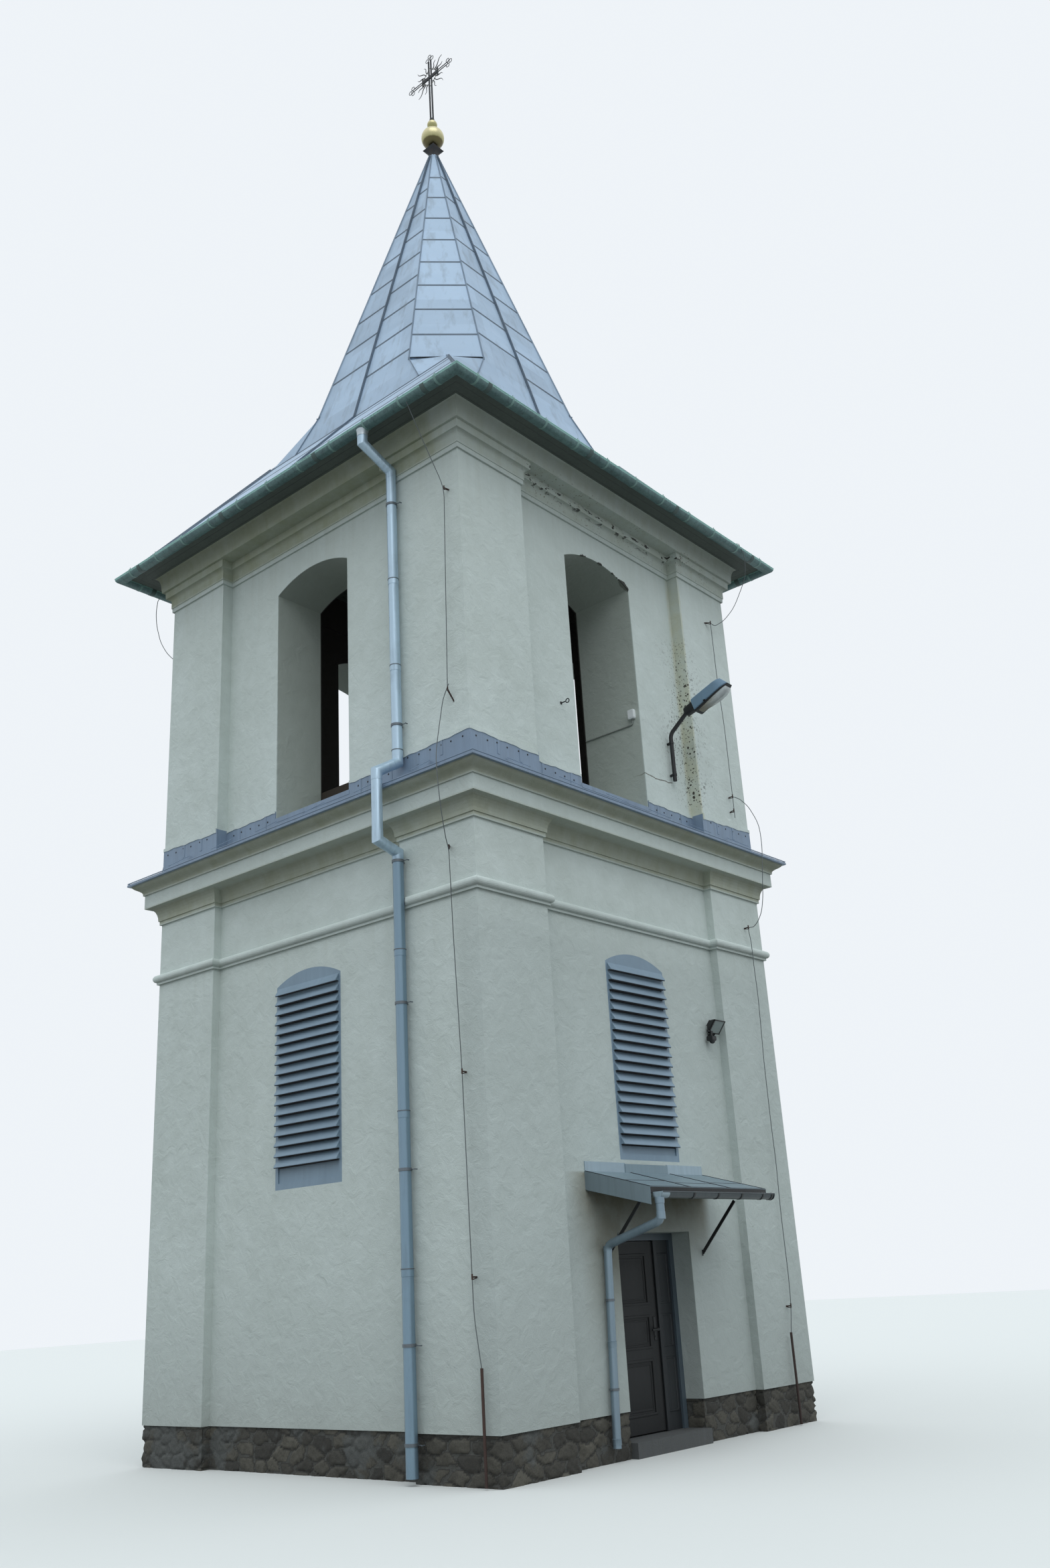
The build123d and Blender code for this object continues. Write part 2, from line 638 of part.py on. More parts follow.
# Finial: iron collar, two balls and the cross
ball_r = 180
knob_r = 82
knob_z = ball_z + 274
collar_top = spire_top + 215
with BuildPart() as finial_collar:
    add(turned([(62, spire_top - 60), (72, spire_top + 10), (138, spire_top + 70), (128, spire_top + 96),
                (92, spire_top + 128), (84, collar_top)], 24))
    low = 80
    grow = low * (drip_c - tip_c) / (spire_top - drip_z)
    grow_b = low * (drip_b - tip_b) / (spire_top - drip_z)
    add(facets(at_height(octagon(tip_c + grow, tip_b + grow_b), spire_top - low),
               at_height(octagon(tip_c, tip_b), spire_top)), mode=Mode.SUBTRACT)
save(finial_collar.part, "finial_collar")


def ball(r, z, low):
    """Ball of flat panels about the z axis, cut off flat below height low."""
    start = math.asin(max(-0.999, (low - z) / r))
    return turned([(r * math.cos(start + (1.5 - start) * i / 6), z + r * math.sin(start + (1.5 - start) * i / 6))
                   for i in range(7)], 20)


with BuildPart() as finial_ball:
    add(ball(ball_r, ball_z, collar_top))
    add(ball(knob_r, knob_z, knob_z - knob_r * 0.98))
    add(turned([(40, ball_z + 122), (40, knob_z - 40)], 16))
save(finial_ball.part, "finial_ball")
cross_arm = 395
with BuildPart() as roof_cross:
    add(turned([(42, knob_z + 48), (42, knob_z + 128)], 16))
    add(ball(knob_r, knob_z, knob_z - knob_r * 0.98), mode=Mode.SUBTRACT)
    for y in (-27, 27):
        block(-9, 9, y - 8, y + 8, knob_z + 108, cross_z + 360)
    for z in (cross_z - 27, cross_z + 27):
        block(-9, 9, -cross_arm, cross_arm, z - 8, z + 8)
    block(-14, 14, -170, 170, cross_z - 34, cross_z + 34)
    for s in (-1, 1):
        block(-10, 10, s * 170 - 11, s * 170 + 11, cross_z - 75, cross_z + 75)
    ring = 190
    with BuildSketch(Plane(origin=(-7, 0, cross_z), x_dir=(0, 1, 0), z_dir=(1, 0, 0))):
        with Locations((0, 0)):
            Rectangle(2 * ring, 2 * ring, rotation=45)
            Rectangle(2 * ring - 32, 2 * ring - 32, rotation=45, mode=Mode.SUBTRACT)
    extrude(amount=14)
    for dy, dz in ((1, 0), (-1, 0), (0, 1)):
        cy, cz = dy * cross_arm, cross_z + dz * 385
        with BuildSketch(Plane(origin=(-7, cy, cz), x_dir=(0, 1, 0), z_dir=(1, 0, 0))):
            for ay, az in ((dy * 62, dz * 62), (dz * 52, dy * 52), (-dz * 52, -dy * 52)):
                with Locations((ay, az)):
                    RegularPolygon(40, 6)
                    RegularPolygon(28, 6, mode=Mode.SUBTRACT)
            with Locations((0, 0)):
                RegularPolygon(34, 6)
        extrude(amount=14)
save(roof_cross.part, "roof_cross")

# Street lamp: tube up the wall, bent outward to its long head
lamp_x = pier_in - 385
lamp_y = -up_face - 62
lamp_low = sill_z + 470
lamp_bend = lamp_low + 625
tube_r = 27
lamp_side = 95         # half width of the head
with BuildPart() as street_lamp:
    knees = [(lamp_x, lamp_y, lamp_low), (lamp_x, lamp_y, lamp_bend), (lamp_x, lamp_y - 300, lamp_bend + 234)]
    pipe(knees, tube_r)
    for z in (lamp_low + 80, lamp_bend - 120):
        block(lamp_x - 20, lamp_x + 20, lamp_y, -up_face, z - 15, z + 15)
    prism([(lamp_y - 260, lamp_bend + 265), (lamp_y - 430, lamp_bend + 342), (lamp_y - 492, lamp_bend + 195),
           (lamp_y - 310, lamp_bend + 160)], lamp_x - 55, lamp_x + 55)
    prism([(lamp_y - 391, lamp_bend + 355), (lamp_y - 818, lamp_bend + 499), (lamp_y - 948, lamp_bend + 363),
           (lamp_y - 459, lamp_bend + 168)], lamp_x - lamp_side, lamp_x + lamp_side)
    prism([(lamp_y - 502, lamp_bend + 230), (lamp_y - 470, lamp_bend + 168), (lamp_y - 577, lamp_bend + 158), (lamp_y - 753, lamp_bend + 144),
           (lamp_y - 876, lamp_bend + 183), (lamp_y - 944, lamp_bend + 274), (lamp_y - 930, lamp_bend + 400)],
          lamp_x - lamp_side + 15, lamp_x + lamp_side - 15)
save(street_lamp.part, "street_lamp")

# Floodlight, box with its conduit, and the conductor wires
flood_x = pier_in - 290
flood_z = win_spring - 665
flood_w = 220
with BuildPart() as floodlight:
    block(flood_x + 60, flood_x + 140, -low_face - 52, -low_face, flood_z - 40, flood_z + 40)
    prism([(-low_face - out, flood_z + up) for out, up in ((40, 36), (112, 12), (156, 184), (64, 180))],
          flood_x, flood_x + flood_w)
    block(flood_x + 20, flood_x + 104, -low_face - 116, -low_face - 30, flood_z - 86, flood_z - 4)
    block(flood_x + 50, flood_x + 74, -low_face - 90, -low_face - 66, flood_z - 10, flood_z + 40)
save(floodlight.part, "floodlight")
box_z = spring_z - 1780
with BuildPart() as junction_box:
    block(open_half - 50, open_half, -up_face + 60, -up_face + 150, box_z, box_z + 122)
    block(open_half - 18, open_half, -up_face + 100, -up_face + 118, box_z - 78, box_z)
    block(open_half - 18, open_half, -up_face + 100, -up_inner_front - 22, box_z - 78, box_z - 60)
save(junction_box.part, "junction_box")

guard_top = 950        # top of the guard tube at the foot of each conductor


def conductor(turn, v_up, v_low):
    """Wire from the gutter to the ground on clips, over the ledge, on a face turned by k quarters."""
    def at(v, out, z):
        return (-out, v, z) if turn else (v, -out, z)
    near = half + 22
    low = half + 80
    far = ledge_half + 30
    pipe([at(v_up, gutter_half, gutter_z - gutter_r - 4), at(v_up, near, up_cornice_z - 117),
          at(v_up, near, cornice_top + 195), at(v_up, far, cornice_top + 55), at(v_up, far, corona_top + 32),
          at(v_low, low, cornice_z - 75), at(v_low, low, guard_top - 2)], 5, 6)
    pipe([at(v_low, low, guard_top), at(v_low, low, 10)], 14, 8)
    for z in (up_cornice_z - 477, cornice_top + 1335, cornice_z - 325, band_z - 2003, band_z - 3703, plinth_top + 88):
        v, out = (v_up, near) if z > cornice_top else (v_low, low)
        a, b = at(v - 6, out, z), at(v + 6, half, z)
        block(min(a[0], b[0]), max(a[0], b[0]), min(a[1], b[1]), max(a[1], b[1]), z - 6, z + 6)


with BuildPart() as conductor_left:
    conductor(True, -2410, -2420)
save(conductor_left.part, "conductor_left")
with BuildPart() as conductor_front:
    conductor(False, 2295, 2170)
save(conductor_front.part, "conductor_front")
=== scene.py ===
"""Looks of the bell tower: plaster, rubble stone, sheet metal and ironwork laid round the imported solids.

Lengths are millimetres, as in the part's source, and become metres where a mesh is made; paints work in metres.
The door face looks along -Y, the face with the main downpipe along -X.
"""
import functools
import math

import bmesh
import bpy
import numpy as np
from mathutils import Matrix, Vector


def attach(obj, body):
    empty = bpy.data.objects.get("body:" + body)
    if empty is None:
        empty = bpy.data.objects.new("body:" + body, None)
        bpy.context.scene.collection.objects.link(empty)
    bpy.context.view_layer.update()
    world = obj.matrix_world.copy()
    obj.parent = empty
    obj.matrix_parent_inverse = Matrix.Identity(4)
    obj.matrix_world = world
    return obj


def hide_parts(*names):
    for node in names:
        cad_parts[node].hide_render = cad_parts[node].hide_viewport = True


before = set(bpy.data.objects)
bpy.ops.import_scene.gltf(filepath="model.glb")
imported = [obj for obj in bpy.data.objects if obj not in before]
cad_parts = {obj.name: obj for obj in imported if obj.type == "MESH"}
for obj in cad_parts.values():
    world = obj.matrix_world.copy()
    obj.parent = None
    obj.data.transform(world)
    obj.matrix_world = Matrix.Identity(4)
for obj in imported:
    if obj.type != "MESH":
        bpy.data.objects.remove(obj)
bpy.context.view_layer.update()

MM = 0.001
X, Y, Z = np.eye(3)

# Plan and heights of the two storeys
HALF, PIER_IN = 2650, 1580             # face of a corner pier from the middle, and the pier's inner edge
LOW_FACE, UP_FACE = 2549, 2496         # wall faces between the piers
PLINTH_TOP = 412
LEDGE_HALF, LEDGE_TOP = 2967, 7003
PIER_SHEET, WALL_SHEET, NAIL_Z = 2660, 2506, 6916      # faces of the ledge's upstand, and its row of nails
SILL_Z, OPEN_HALF = 6911, 644
ARCH_R, ARCH_Z = 1.3837, 8.6633        # belfry arch in metres: radius and height of its centre
WIN_HALF, SLAT_TOP, SLAT_LOW, SLATS = 530, 4762, 2920, 18

# Roof
EAVES_HALF, EAVES_Z = 3140, 10930
FOLD_HALF, FOLD_B, FOLD_Z = 1749, 1219, 12614
DRIP_C, DRIP_B, DRIP_Z, HIP = 1597, 901, 13144, 1290
DRIP_OUT = 42
TIP_C, TIP_B, SPIRE_TOP = 53, 21, 18444
BALL_Z, KNOB_Z, CROSS_Z = 18818, 19092, 20120
SHEET_RUN = BRACKET_RUN = 577          # height of one roof sheet, and the distance between gutter brackets
LAP_UP, LAP_BACK, CORNER_LAP = 11, 360, 530    # flat seams, from the foot of their row of sheets
GUTTER_HALF, GUTTER_Z, PIPE_R = 3159, 10905, 60

# Doorway and canopy
DOOR_LEFT, DOOR_RIGHT, LEAF_Y = -685, 580, -2294
PANELS = (320, 820), (940, 1240), (1360, 1840)
CAN_LEFT, CAN_RIGHT, CAN_OUT, CAN_WALL_Z, CAN_EDGE_Z = -1140, 942, 790, 2640, 2425
CAN_FALL = CAN_EDGE_Z - CAN_WALL_Z
CAN_FRONT = -LOW_FACE - CAN_OUT
CG_R, CG_Y, CG_Z = 55, CAN_FRONT - 58, CAN_EDGE_Z - 62
CG_LEFT, CG_RIGHT = CAN_LEFT + 30, CAN_RIGHT - 20
THIN_R = 43                            # pipe of the canopy's gutter

# Fittings
WIRE_OUT, HOOK_FOOT = 2712, 2645       # conductor wire and the feet of its hooks, from the middle
LAMP_X, LAMP_Y, LAMP_LOW, LAMP_BEND = 1195, -2558, 7381, 8006
FLOOD_X, FLOOD_Z, FLOOD_LEAN = 1290, 4200, math.radians(-38)
BOX_Z, EYE_X, EYE_Z = 8108, -910, 7832


# ---- Shapes: each is (points, faces), with faces as arrays of point numbers ----

def joined(*shapes):
    """Several shapes as one: the point numbers of each are raised by the points before it."""
    points, faces, start = [], [], 0
    for p, fs in shapes:
        points.append(p)
        faces += [f + start for f in fs]
        start += len(p)
    return np.concatenate(points), faces


def grid(p, wrap_u=False, wrap_v=False):
    """Four-sided faces between neighbours on a grid of points, closed on itself where told."""
    n, m = p.shape[:2]
    i = np.arange(n if wrap_u else n - 1)[:, None]
    j = np.arange(m if wrap_v else m - 1)[None, :]
    i2, j2 = (i + 1) % n, (j + 1) % m
    quads = np.stack([i * m + j, i * m + j2, i2 * m + j2, i2 * m + j], -1)
    return p.reshape(-1, 3), [quads.reshape(-1, 4)]


def capped(rings):
    """A row of closed rings with a flat face at each end."""
    rings = np.asarray(rings)
    n, m = rings.shape[:2]
    points, faces = grid(rings, False, True)
    return points, faces + [np.arange(m)[None, ::-1], (n - 1) * m + np.arange(m)[None]]


def unit(v):
    """Vectors divided by their own lengths."""
    v = np.asarray(v, float)
    return v / np.linalg.norm(v, axis=-1, keepdims=True)


def swept(path, profile, up, close=False):
    """Profile carried along a flat path: each corner is cut by the mitre plane between its two runs.

    A profile point (a, b) lies a sideways, along run x up, and b along up.
    """
    path, profile, up = np.asarray(path, float), np.asarray(profile, float), unit(up)
    legs = unit(np.roll(path, -1, 0) - path)
    into = np.roll(legs, 1, 0)
    if not close:
        legs[-1], into[0] = legs[-2], legs[0]
    side_in, side_out = np.cross(into, up), np.cross(legs, up)
    side = unit(side_in + side_out)
    stretch = 1 / np.maximum((side * side_in).sum(-1, keepdims=True), 0.2)
    rings = path[:, None] + profile[None, :, :1] * (side * stretch)[:, None] + profile[None, :, 1:] * up
    return grid(rings, True, True) if close else capped(rings)


def carried(a, b, profile, up=Z):
    """Profile carried straight from a to b, its own up as near the given one as the run allows."""
    run = unit(np.subtract(b, a))
    return swept([a, b], profile, up - run * (run @ up))


def box_profile(wide, thick, soft):
    """Rectangle with its corners taken off by soft."""
    w, t = wide / 2, thick / 2
    return [(w - soft, -t), (w, -t + soft), (w, t - soft), (w - soft, t),
            (-w + soft, t), (-w, t - soft), (-w, -t + soft), (-w + soft, -t)]


def bar(a, b, wide, thick, up=Z, soft=None):
    """Straight bar from a to b, thick along up, with soft long edges."""
    soft = min(wide, thick) * 0.15 if soft is None else soft
    return carried(a, b, box_profile(wide, thick, soft), up)


def slab(x1, x2, y1, y2, z1, z2, soft=2.0):
    """Block between two corners with its four edges along x taken off."""
    y, z = (y1 + y2) / 2, (z1 + z2) / 2
    return bar((x1, y, z), (x2, y, z), abs(y2 - y1), abs(z2 - z1), Z, soft)


def first_spoke(run):
    """Direction square to a run: run x Z, or run x X where the run is nearly upright."""
    return np.cross(run, Z if abs(run[2]) < 0.9 else X)


def circle(run, spoke, radius, sides):
    """Ring square to run about the origin, from the spoke: cos of the turn along it, sin along run x spoke."""
    spoke = unit(spoke - run * (spoke @ run))
    turn = np.linspace(0, 2 * np.pi, sides, endpoint=False)[:, None]
    return radius * (np.cos(turn) * spoke + np.sin(turn) * np.cross(run, spoke))


def tube(path, radius, sides=10):
    """Round bar: a ring square to the path at each of its points, its first spoke carried on without twist."""
    path = np.asarray(path, float)
    runs, rings = unit(np.gradient(path, axis=0)), []
    spoke = first_spoke(runs[0])
    for at, run, r in zip(path, runs, np.broadcast_to(radius, len(path))):
        ring = circle(run, spoke, r, sides)
        rings.append(at + ring)
        spoke = ring[0]
    return capped(rings)


def mitred(path, radius, sides=24):
    """Round tube with sharp elbows: a ring square to each leg, slid along it onto the plane that halves the bend."""
    path = np.asarray(path, float)
    legs, rings = unit(np.diff(path, axis=0)), []
    spoke = first_spoke(legs[0])
    for i, at in enumerate(path):
        run = legs[max(i - 1, 0)]
        half = unit(run + legs[i]) if 0 < i < len(legs) else run
        ring = circle(run, spoke, radius, sides)
        ring -= run * ((ring @ half) / (run @ half))[:, None]
        rings.append(at + ring)
        spoke = ring[0]
    return capped(rings)


def lathe(profile, sides, centre=(0, 0, 0), axis=Z):
    """(radius, height) pairs turned about an axis through centre."""
    profile = np.asarray(profile, float)
    spokes = circle(axis, np.cross(axis, X if abs(axis[0]) < 0.9 else Y), 1, sides)
    return capped(centre + profile[:, :1, None] * spokes + profile[:, 1:, None] * axis)


def plate(outline, thick, origin, ax, ay):
    """Flat outline given an even thickness, from its plane along ax x ay."""
    outline = np.asarray(outline, float)
    flat = origin + outline[:, :1] * ax + outline[:, 1:] * ay
    return capped([flat, flat + thick * np.cross(ax, ay)])


def repeated(shape, places):
    """One small shape at many places."""
    points, faces = shape
    start = np.arange(len(places))[:, None, None] * len(points)
    spread = np.asarray(places, float)[:, None] + points
    return spread.reshape(-1, 3), [(f + start).reshape(-1, f.shape[1]) for f in faces]


def all_round(*shapes):
    """Shapes made for the door face, on all four faces: x and y turned a quarter at a time."""
    points, faces = joined(*shapes)
    quarters = (1, 0), (0, 1), (-1, 0), (0, -1)
    return joined(*[(points @ np.array([(c, s, 0), (-s, c, 0), (0, 0, 1)], float), faces) for c, s in quarters])


def arc(r, start, end, n):
    """Points of an arc about the origin, angles in degrees."""
    t = np.radians(np.linspace(start, end, n))
    return np.stack([r * np.cos(t), r * np.sin(t)], -1)


def across(points):
    """Points (a, b) as a line across a gutter: a towards -Y, b up."""
    a, b = np.transpose(points)
    return np.stack([0 * a, -a, b], -1)


def rounded(points, radius, n=5):
    """A run of straight legs with each corner replaced by a curve that leaves the legs radius away from it."""
    points = [np.asarray(p, float) for p in points]
    out = [points[0]]
    t = np.linspace(0, 1, n)[:, None]
    for before, corner, after in zip(points, points[1:], points[2:]):
        reach = min(radius, np.linalg.norm(corner - before) * 0.45, np.linalg.norm(after - corner) * 0.45)
        a, b = corner + reach * unit(before - corner), corner + reach * unit(after - corner)
        out += list((1 - t) ** 2 * a + 2 * t * (1 - t) * corner + t ** 2 * b)
    return np.array(out + [points[-1]])


def ring_path(h, z):
    """Corners of a level square round the tower's axis, each h from the middle along x and y."""
    return [(-h, -h, z), (h, -h, z), (h, h, z), (-h, h, z)]


def meshed(name, shape, material):
    """Mesh of a shape in metres, the faces of every closed shell turned to point outwards, as an object."""
    points, faces = shape
    mesh = bpy.data.meshes.new(name)
    mesh.from_pydata((points * MM).tolist(), [], [row for f in faces for row in f.tolist()])
    mesh.materials.append(material)
    work = bmesh.new()
    work.from_mesh(mesh)
    bmesh.ops.recalc_face_normals(work, faces=work.faces)
    work.to_mesh(mesh)
    work.free()
    obj = bpy.data.objects.new(name, mesh)
    bpy.context.scene.collection.objects.link(obj)
    return obj


def solid(name, shapes, paint, hides=(), smooth=0, body="tower"):
    """Makes a piece from one shape or a list of them and puts it on its body.

    smooth is the angle in degrees up to which neighbouring faces shade as one surface.
    """
    obj = meshed(name, joined(*shapes) if isinstance(shapes, list) else shapes, PAINTS[paint])
    if smooth:
        obj.data.shade_smooth()
        obj.data.set_sharp_from_angle(angle=math.radians(smooth))
    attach(obj, body)
    if hides:
        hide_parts(*hides)
    return obj


# ---- Materials ----

def srgb(colour, times=1.0):
    """Screen colour, 0 to 255, as the light values that the shader takes, made lighter or darker by times."""
    c = np.array(colour) / 255
    lin = np.where(c <= 0.04045, c / 12.92, ((c + 0.055) / 1.055) ** 2.4)
    return (*np.minimum(lin * times, 1.0).tolist(), 1.0)


class Wire:
    """One value running through a material; arithmetic on it adds the Math node for it."""

    def __init__(self, paint, socket):
        self.paint, self.socket = paint, socket

    def maths(self, what, *values):
        """One Math node: the named operation on the values, in their order."""
        return self.paint.node("Math", dict(enumerate(values)), operation=what)

    def __add__(self, other):
        return self.maths("ADD", self, other)

    def __sub__(self, other):
        return self.maths("SUBTRACT", self, other)

    def __mul__(self, other):
        return self.maths("MULTIPLY", self, other)

    def __truediv__(self, other):
        return self.maths("DIVIDE", self, other)

    def __rsub__(self, other):
        return self.maths("SUBTRACT", other, self)

    __radd__, __rmul__ = __add__, __mul__

    def __abs__(self):
        return self.maths("ABSOLUTE", self)

    def floor(self):
        return self.maths("FLOOR", self)

    def larger(self, other):
        return self.maths("MAXIMUM", self, other)

    def smaller(self, other):
        return self.maths("MINIMUM", self, other)

    def step(self, low, high):
        """0 below low, 1 above high, with an even slope between; falls instead where low is above high."""
        a, b, lo, hi = (low, high, 0.0, 1.0) if low < high else (high, low, 1.0, 0.0)
        return self.paint.node("MapRange", {"Value": self, "From Min": a, "From Max": b, "To Min": lo, "To Max": hi},
                               clamp=True)

    def within(self, low, full, last, gone):
        """Rises from 0 at low to 1 at full, and falls from 1 at last to 0 at gone."""
        return self.step(low, full) * self.step(gone, last)


class Paint:
    """One material (or the sky) being built: node() adds any node, the other methods are the mixtures used here."""

    def __init__(self, name, owner=None, place="Object"):
        self.owner = owner or bpy.data.materials.new(name)
        self.owner.use_nodes = True
        self.tree = self.owner.node_tree
        self.tree.nodes.clear()
        self.place = self.node("TexCoord", out=place)

    def node(self, kind, values=None, out=0, **settings):
        """Adds a node: its settings are set first, then the values or links of its sockets."""
        made = self.tree.nodes.new("ShaderNode" + kind)
        for key, value in settings.items():
            setattr(made, key, value)
        for key, value in (values or {}).items():
            if isinstance(value, Wire):
                self.tree.links.new(value.socket, made.inputs[key])
            else:
                made.inputs[key].default_value = value
        return Wire(self, made.outputs[out])

    def axes(self):
        """x, y and z of the point in metres."""
        made = self.node("SeparateXYZ", {0: self.place}).socket.node
        return [Wire(self, made.outputs[k]) for k in range(3)]

    def scaled(self, x, y, z):
        """The point with each axis multiplied, for patterns drawn out along one of them."""
        return self.node("Mapping", {"Vector": self.place, "Scale": (x, y, z)})

    def noise(self, scale, detail=4.0, rough=0.55, at=None, warp=0.0):
        """Soft clouds from 0 to 1 about a half, scale of them to the metre, with finer ones added on top."""
        return self.node("TexNoise", {"Vector": at or self.place, "Scale": scale, "Detail": detail,
                                      "Roughness": rough, "Distortion": warp})

    def streaks(self, detail, rough, *stretch):
        """Noise drawn out down the wall."""
        return self.noise(1.0, detail, rough, at=self.scaled(*stretch))

    def cells(self, scale, out="Distance"):
        """Distance to the nearest of scattered points, scale of them to the metre, or that point's own colour."""
        return self.node("TexVoronoi", {"Vector": self.place, "Scale": scale}, out, feature="F1")

    def mix(self, a, b, factor):
        """Colour a turning into b as factor goes from 0 to 1; a triple is a screen colour."""
        a, b = (srgb(c) if isinstance(c, tuple) and len(c) == 3 else c for c in (a, b))
        return self.node("Mix", {0: factor, 6: a, 7: b}, 2, data_type="RGBA", blend_type="MIX", clamp_factor=True)

    def bump(self, height, distance, under=None):
        """Surface tilted by the slope of a height that is distance metres deep, over another bump if given."""
        values = {"Height": height, "Strength": 1.0, "Distance": distance}
        if under:
            values["Normal"] = under
        return self.node("Bump", values)

    def seen_rays(self):
        """1 for the camera and for what metal and glass show, 0 for the light that falls on the tower."""
        rays = [self.node("LightPath", out=f"Is {kind} Ray") for kind in ("Camera", "Glossy", "Transmission")]
        return functools.reduce(Wire.larger, rays)

    def end(self, shader, kind="Material"):
        """Joins the shader to the output and gives back the material or the sky."""
        output = self.tree.nodes.new("ShaderNodeOutput" + kind)
        self.tree.links.new(shader.socket, output.inputs["Surface"])
        return self.owner

    def finish(self, colour, rough, metal=0.0, normal=None, **other):
        """Principled surface with these values on its sockets."""
        values = {"Base Color": colour, "Roughness": rough, "Metallic": metal, **other}
        if normal:
            values["Normal"] = normal
        return self.end(self.node("BsdfPrincipled", values))


def coat(name, colour, rough, metal=0.0, grime=0.25, grime_colour=(70, 68, 60), vary=0.06, grain=140.0,
         depth=0.0006):
    """Ordinary weathered finish: soft changes of tone, dirt in patches and runs, a fine grain underneath."""
    p = Paint(name)
    broad = p.noise(1.7, 5.0, 0.6)
    runs = p.streaks(4.0, 0.6, 16, 16, 1.1)
    base = p.mix(srgb(colour, 1 - vary * 3), srgb(colour, 1 + vary * 2), broad.step(0.25, 0.75))
    dirt = (broad * 0.45 + runs * 0.55).step(0.48, 0.72) * grime
    fine = p.noise(grain, 3.0, 0.6)
    return p.finish(p.mix(base, grime_colour, dirt), (fine * 0.16 + (rough - 0.08)).smaller(1.0),
                    metal, p.bump(fine, depth))


def plaster_paint():
    """Off-white lime plaster: trowel marks, dirt under the mouldings, damp foot, mould; painted shade in hollows,
    reveals, under the canopy and on the raw render inside.
    """
    p = Paint("plaster")
    x, y, z = p.axes()
    broad = p.noise(0.55, 4.0, 0.55)
    mid = p.noise(4.2, 6.0, 0.62)
    runs = p.streaks(5.0, 0.65, 9, 9, 0.55)
    door_face = y.step(-2.3, -2.45)
    base = p.mix((190, 199, 193), (208, 217, 213), (broad * 0.5 + mid * 0.5).step(0.3, 0.7))
    # runs of dirt below each moulding, fading downwards
    under_crown = z.within(9.3, 10.4, 10.40, 10.46)
    under_band = z.within(4.6, 5.3, 5.30, 5.42)
    under_ledge = z.within(5.95, 6.4, 6.56, 6.62)
    fall = (under_crown * 0.5 + under_band * 0.4 + under_ledge * 0.35) * (runs * 0.6 + mid * 0.4).step(0.46, 0.72)
    base = p.mix(base, (150, 152, 128), fall * 0.45)
    # the mouldings under the eaves and the ledge hold dust and lichen, and are darkened further in their hollows as
    # painted shade
    dust_and_shade_mottle = (mid * 0.6 + runs * 0.4).step(0.3, 0.6)
    base = p.mix(base, (158, 162, 136), z.step(10.41, 10.46) * (dust_and_shade_mottle * 0.4 + 0.5 - door_face * 0.5))
    hollow_dust_and_shade = z.within(6.02, 6.05, 6.22, 6.26).larger(z.within(6.40, 6.43, 6.58, 6.60))
    base = p.mix(base, (158, 160, 136), hollow_dust_and_shade * (dust_and_shade_mottle * 0.35 + 0.45))
    foot = z.step(1.5, 0.42) * (mid * 0.6 + broad * 0.4 + z.step(0.8, 0.4) * 0.15).step(0.4, 0.75)
    base = p.mix(base, (160, 160, 150), foot * 0.5)
    # lower storey greyer and darker below about 5.6 m, most on the face of the door, and a little more near the
    # ground
    base = p.mix(base, (148, 157, 155), z.step(5.6, 4.9) * (door_face * 0.26 + 0.10) + z.step(2.4, 0.6) * 0.1)

    def dots(scale, size, patch_shift):
        """Round marks, one to a cell, each as large as a slow noise at its place lets it be."""
        spread = p.noise(scale * 0.7 + patch_shift, 2.0, 0.5)
        return (p.cells(scale) + 0.5 - spread).step(size, size - 0.05)

    # black mould: dots that gather beside the far pier of the door face and under its cornice
    drops = dots(17.0, 0.23, 0.0).larger(dots(33.0, 0.25, 1.3))
    pier_side = x.within(1.50, 1.56, 1.60, 1.62)
    thick = x.within(0.98, 1.56, 1.60, 2.05) * z.within(7.0, 7.4, 8.6, 9.7)
    corner = pier_side * z.within(7.0, 7.2, 8.4, 9.6)
    heavy = p.noise(2.6, 3.0, 0.5).step(0.36, 0.60)
    yellowed = pier_side * z.within(6.6, 7.0, 10.1, 10.5)
    base = p.mix(base, (190, 190, 164), door_face * yellowed * (mid.step(0.35, 0.6) * 0.4 + 0.3))
    mould = (thick * heavy * 0.85 + corner * heavy).smaller(1.0) * drops
    base = p.mix(base, (50, 42, 34), door_face * mould * 0.95)
    row = x.within(-1.65, -1.5, 1.5, 1.75) * z.within(10.55, 10.585, 10.65, 10.675)
    holes = p.streaks(2.0, 0.5, 8.5, 8.5, 26).step(0.585, 0.605) * p.noise(30.0, 2.0, 0.5).step(0.36, 0.42)
    speck = dots(30.0, 0.18, 2.1) * x.step(-1.9, -1.4) * z.within(10.36, 10.50, 10.68, 10.80)
    base = p.mix(base, (96, 78, 56), door_face * speck * heavy * 0.8)
    base = p.mix(base, (34, 28, 24), door_face * row * holes * 0.92)
    # plaster broken away along the arch of the door-side belfry opening: (place across, size) of each chip
    chips = []
    for px, size in ((-0.30, 0.03), (-0.265, 0.035), (-0.22, 0.026), (0.06, 0.03), (0.095, 0.034), (0.33, 0.028),
                     (0.37, 0.02), (0.42, 0.022), (0.47, 0.03), (0.515, 0.05), (0.56, 0.06), (0.61, 0.05)):
        pz = ARCH_Z + math.sqrt(ARCH_R ** 2 - px ** 2) - 0.012
        gap = p.node("VectorMath", {0: p.place, 1: (px, -UP_FACE * MM, pz)}, "Value", operation="DISTANCE")
        chips.append((gap + p.noise(55.0, 3.0, 0.6) * 0.04 - 0.02).step(size, size - 0.006))
    base = p.mix(base, (30, 25, 20), functools.reduce(Wire.larger, chips) * 0.95)
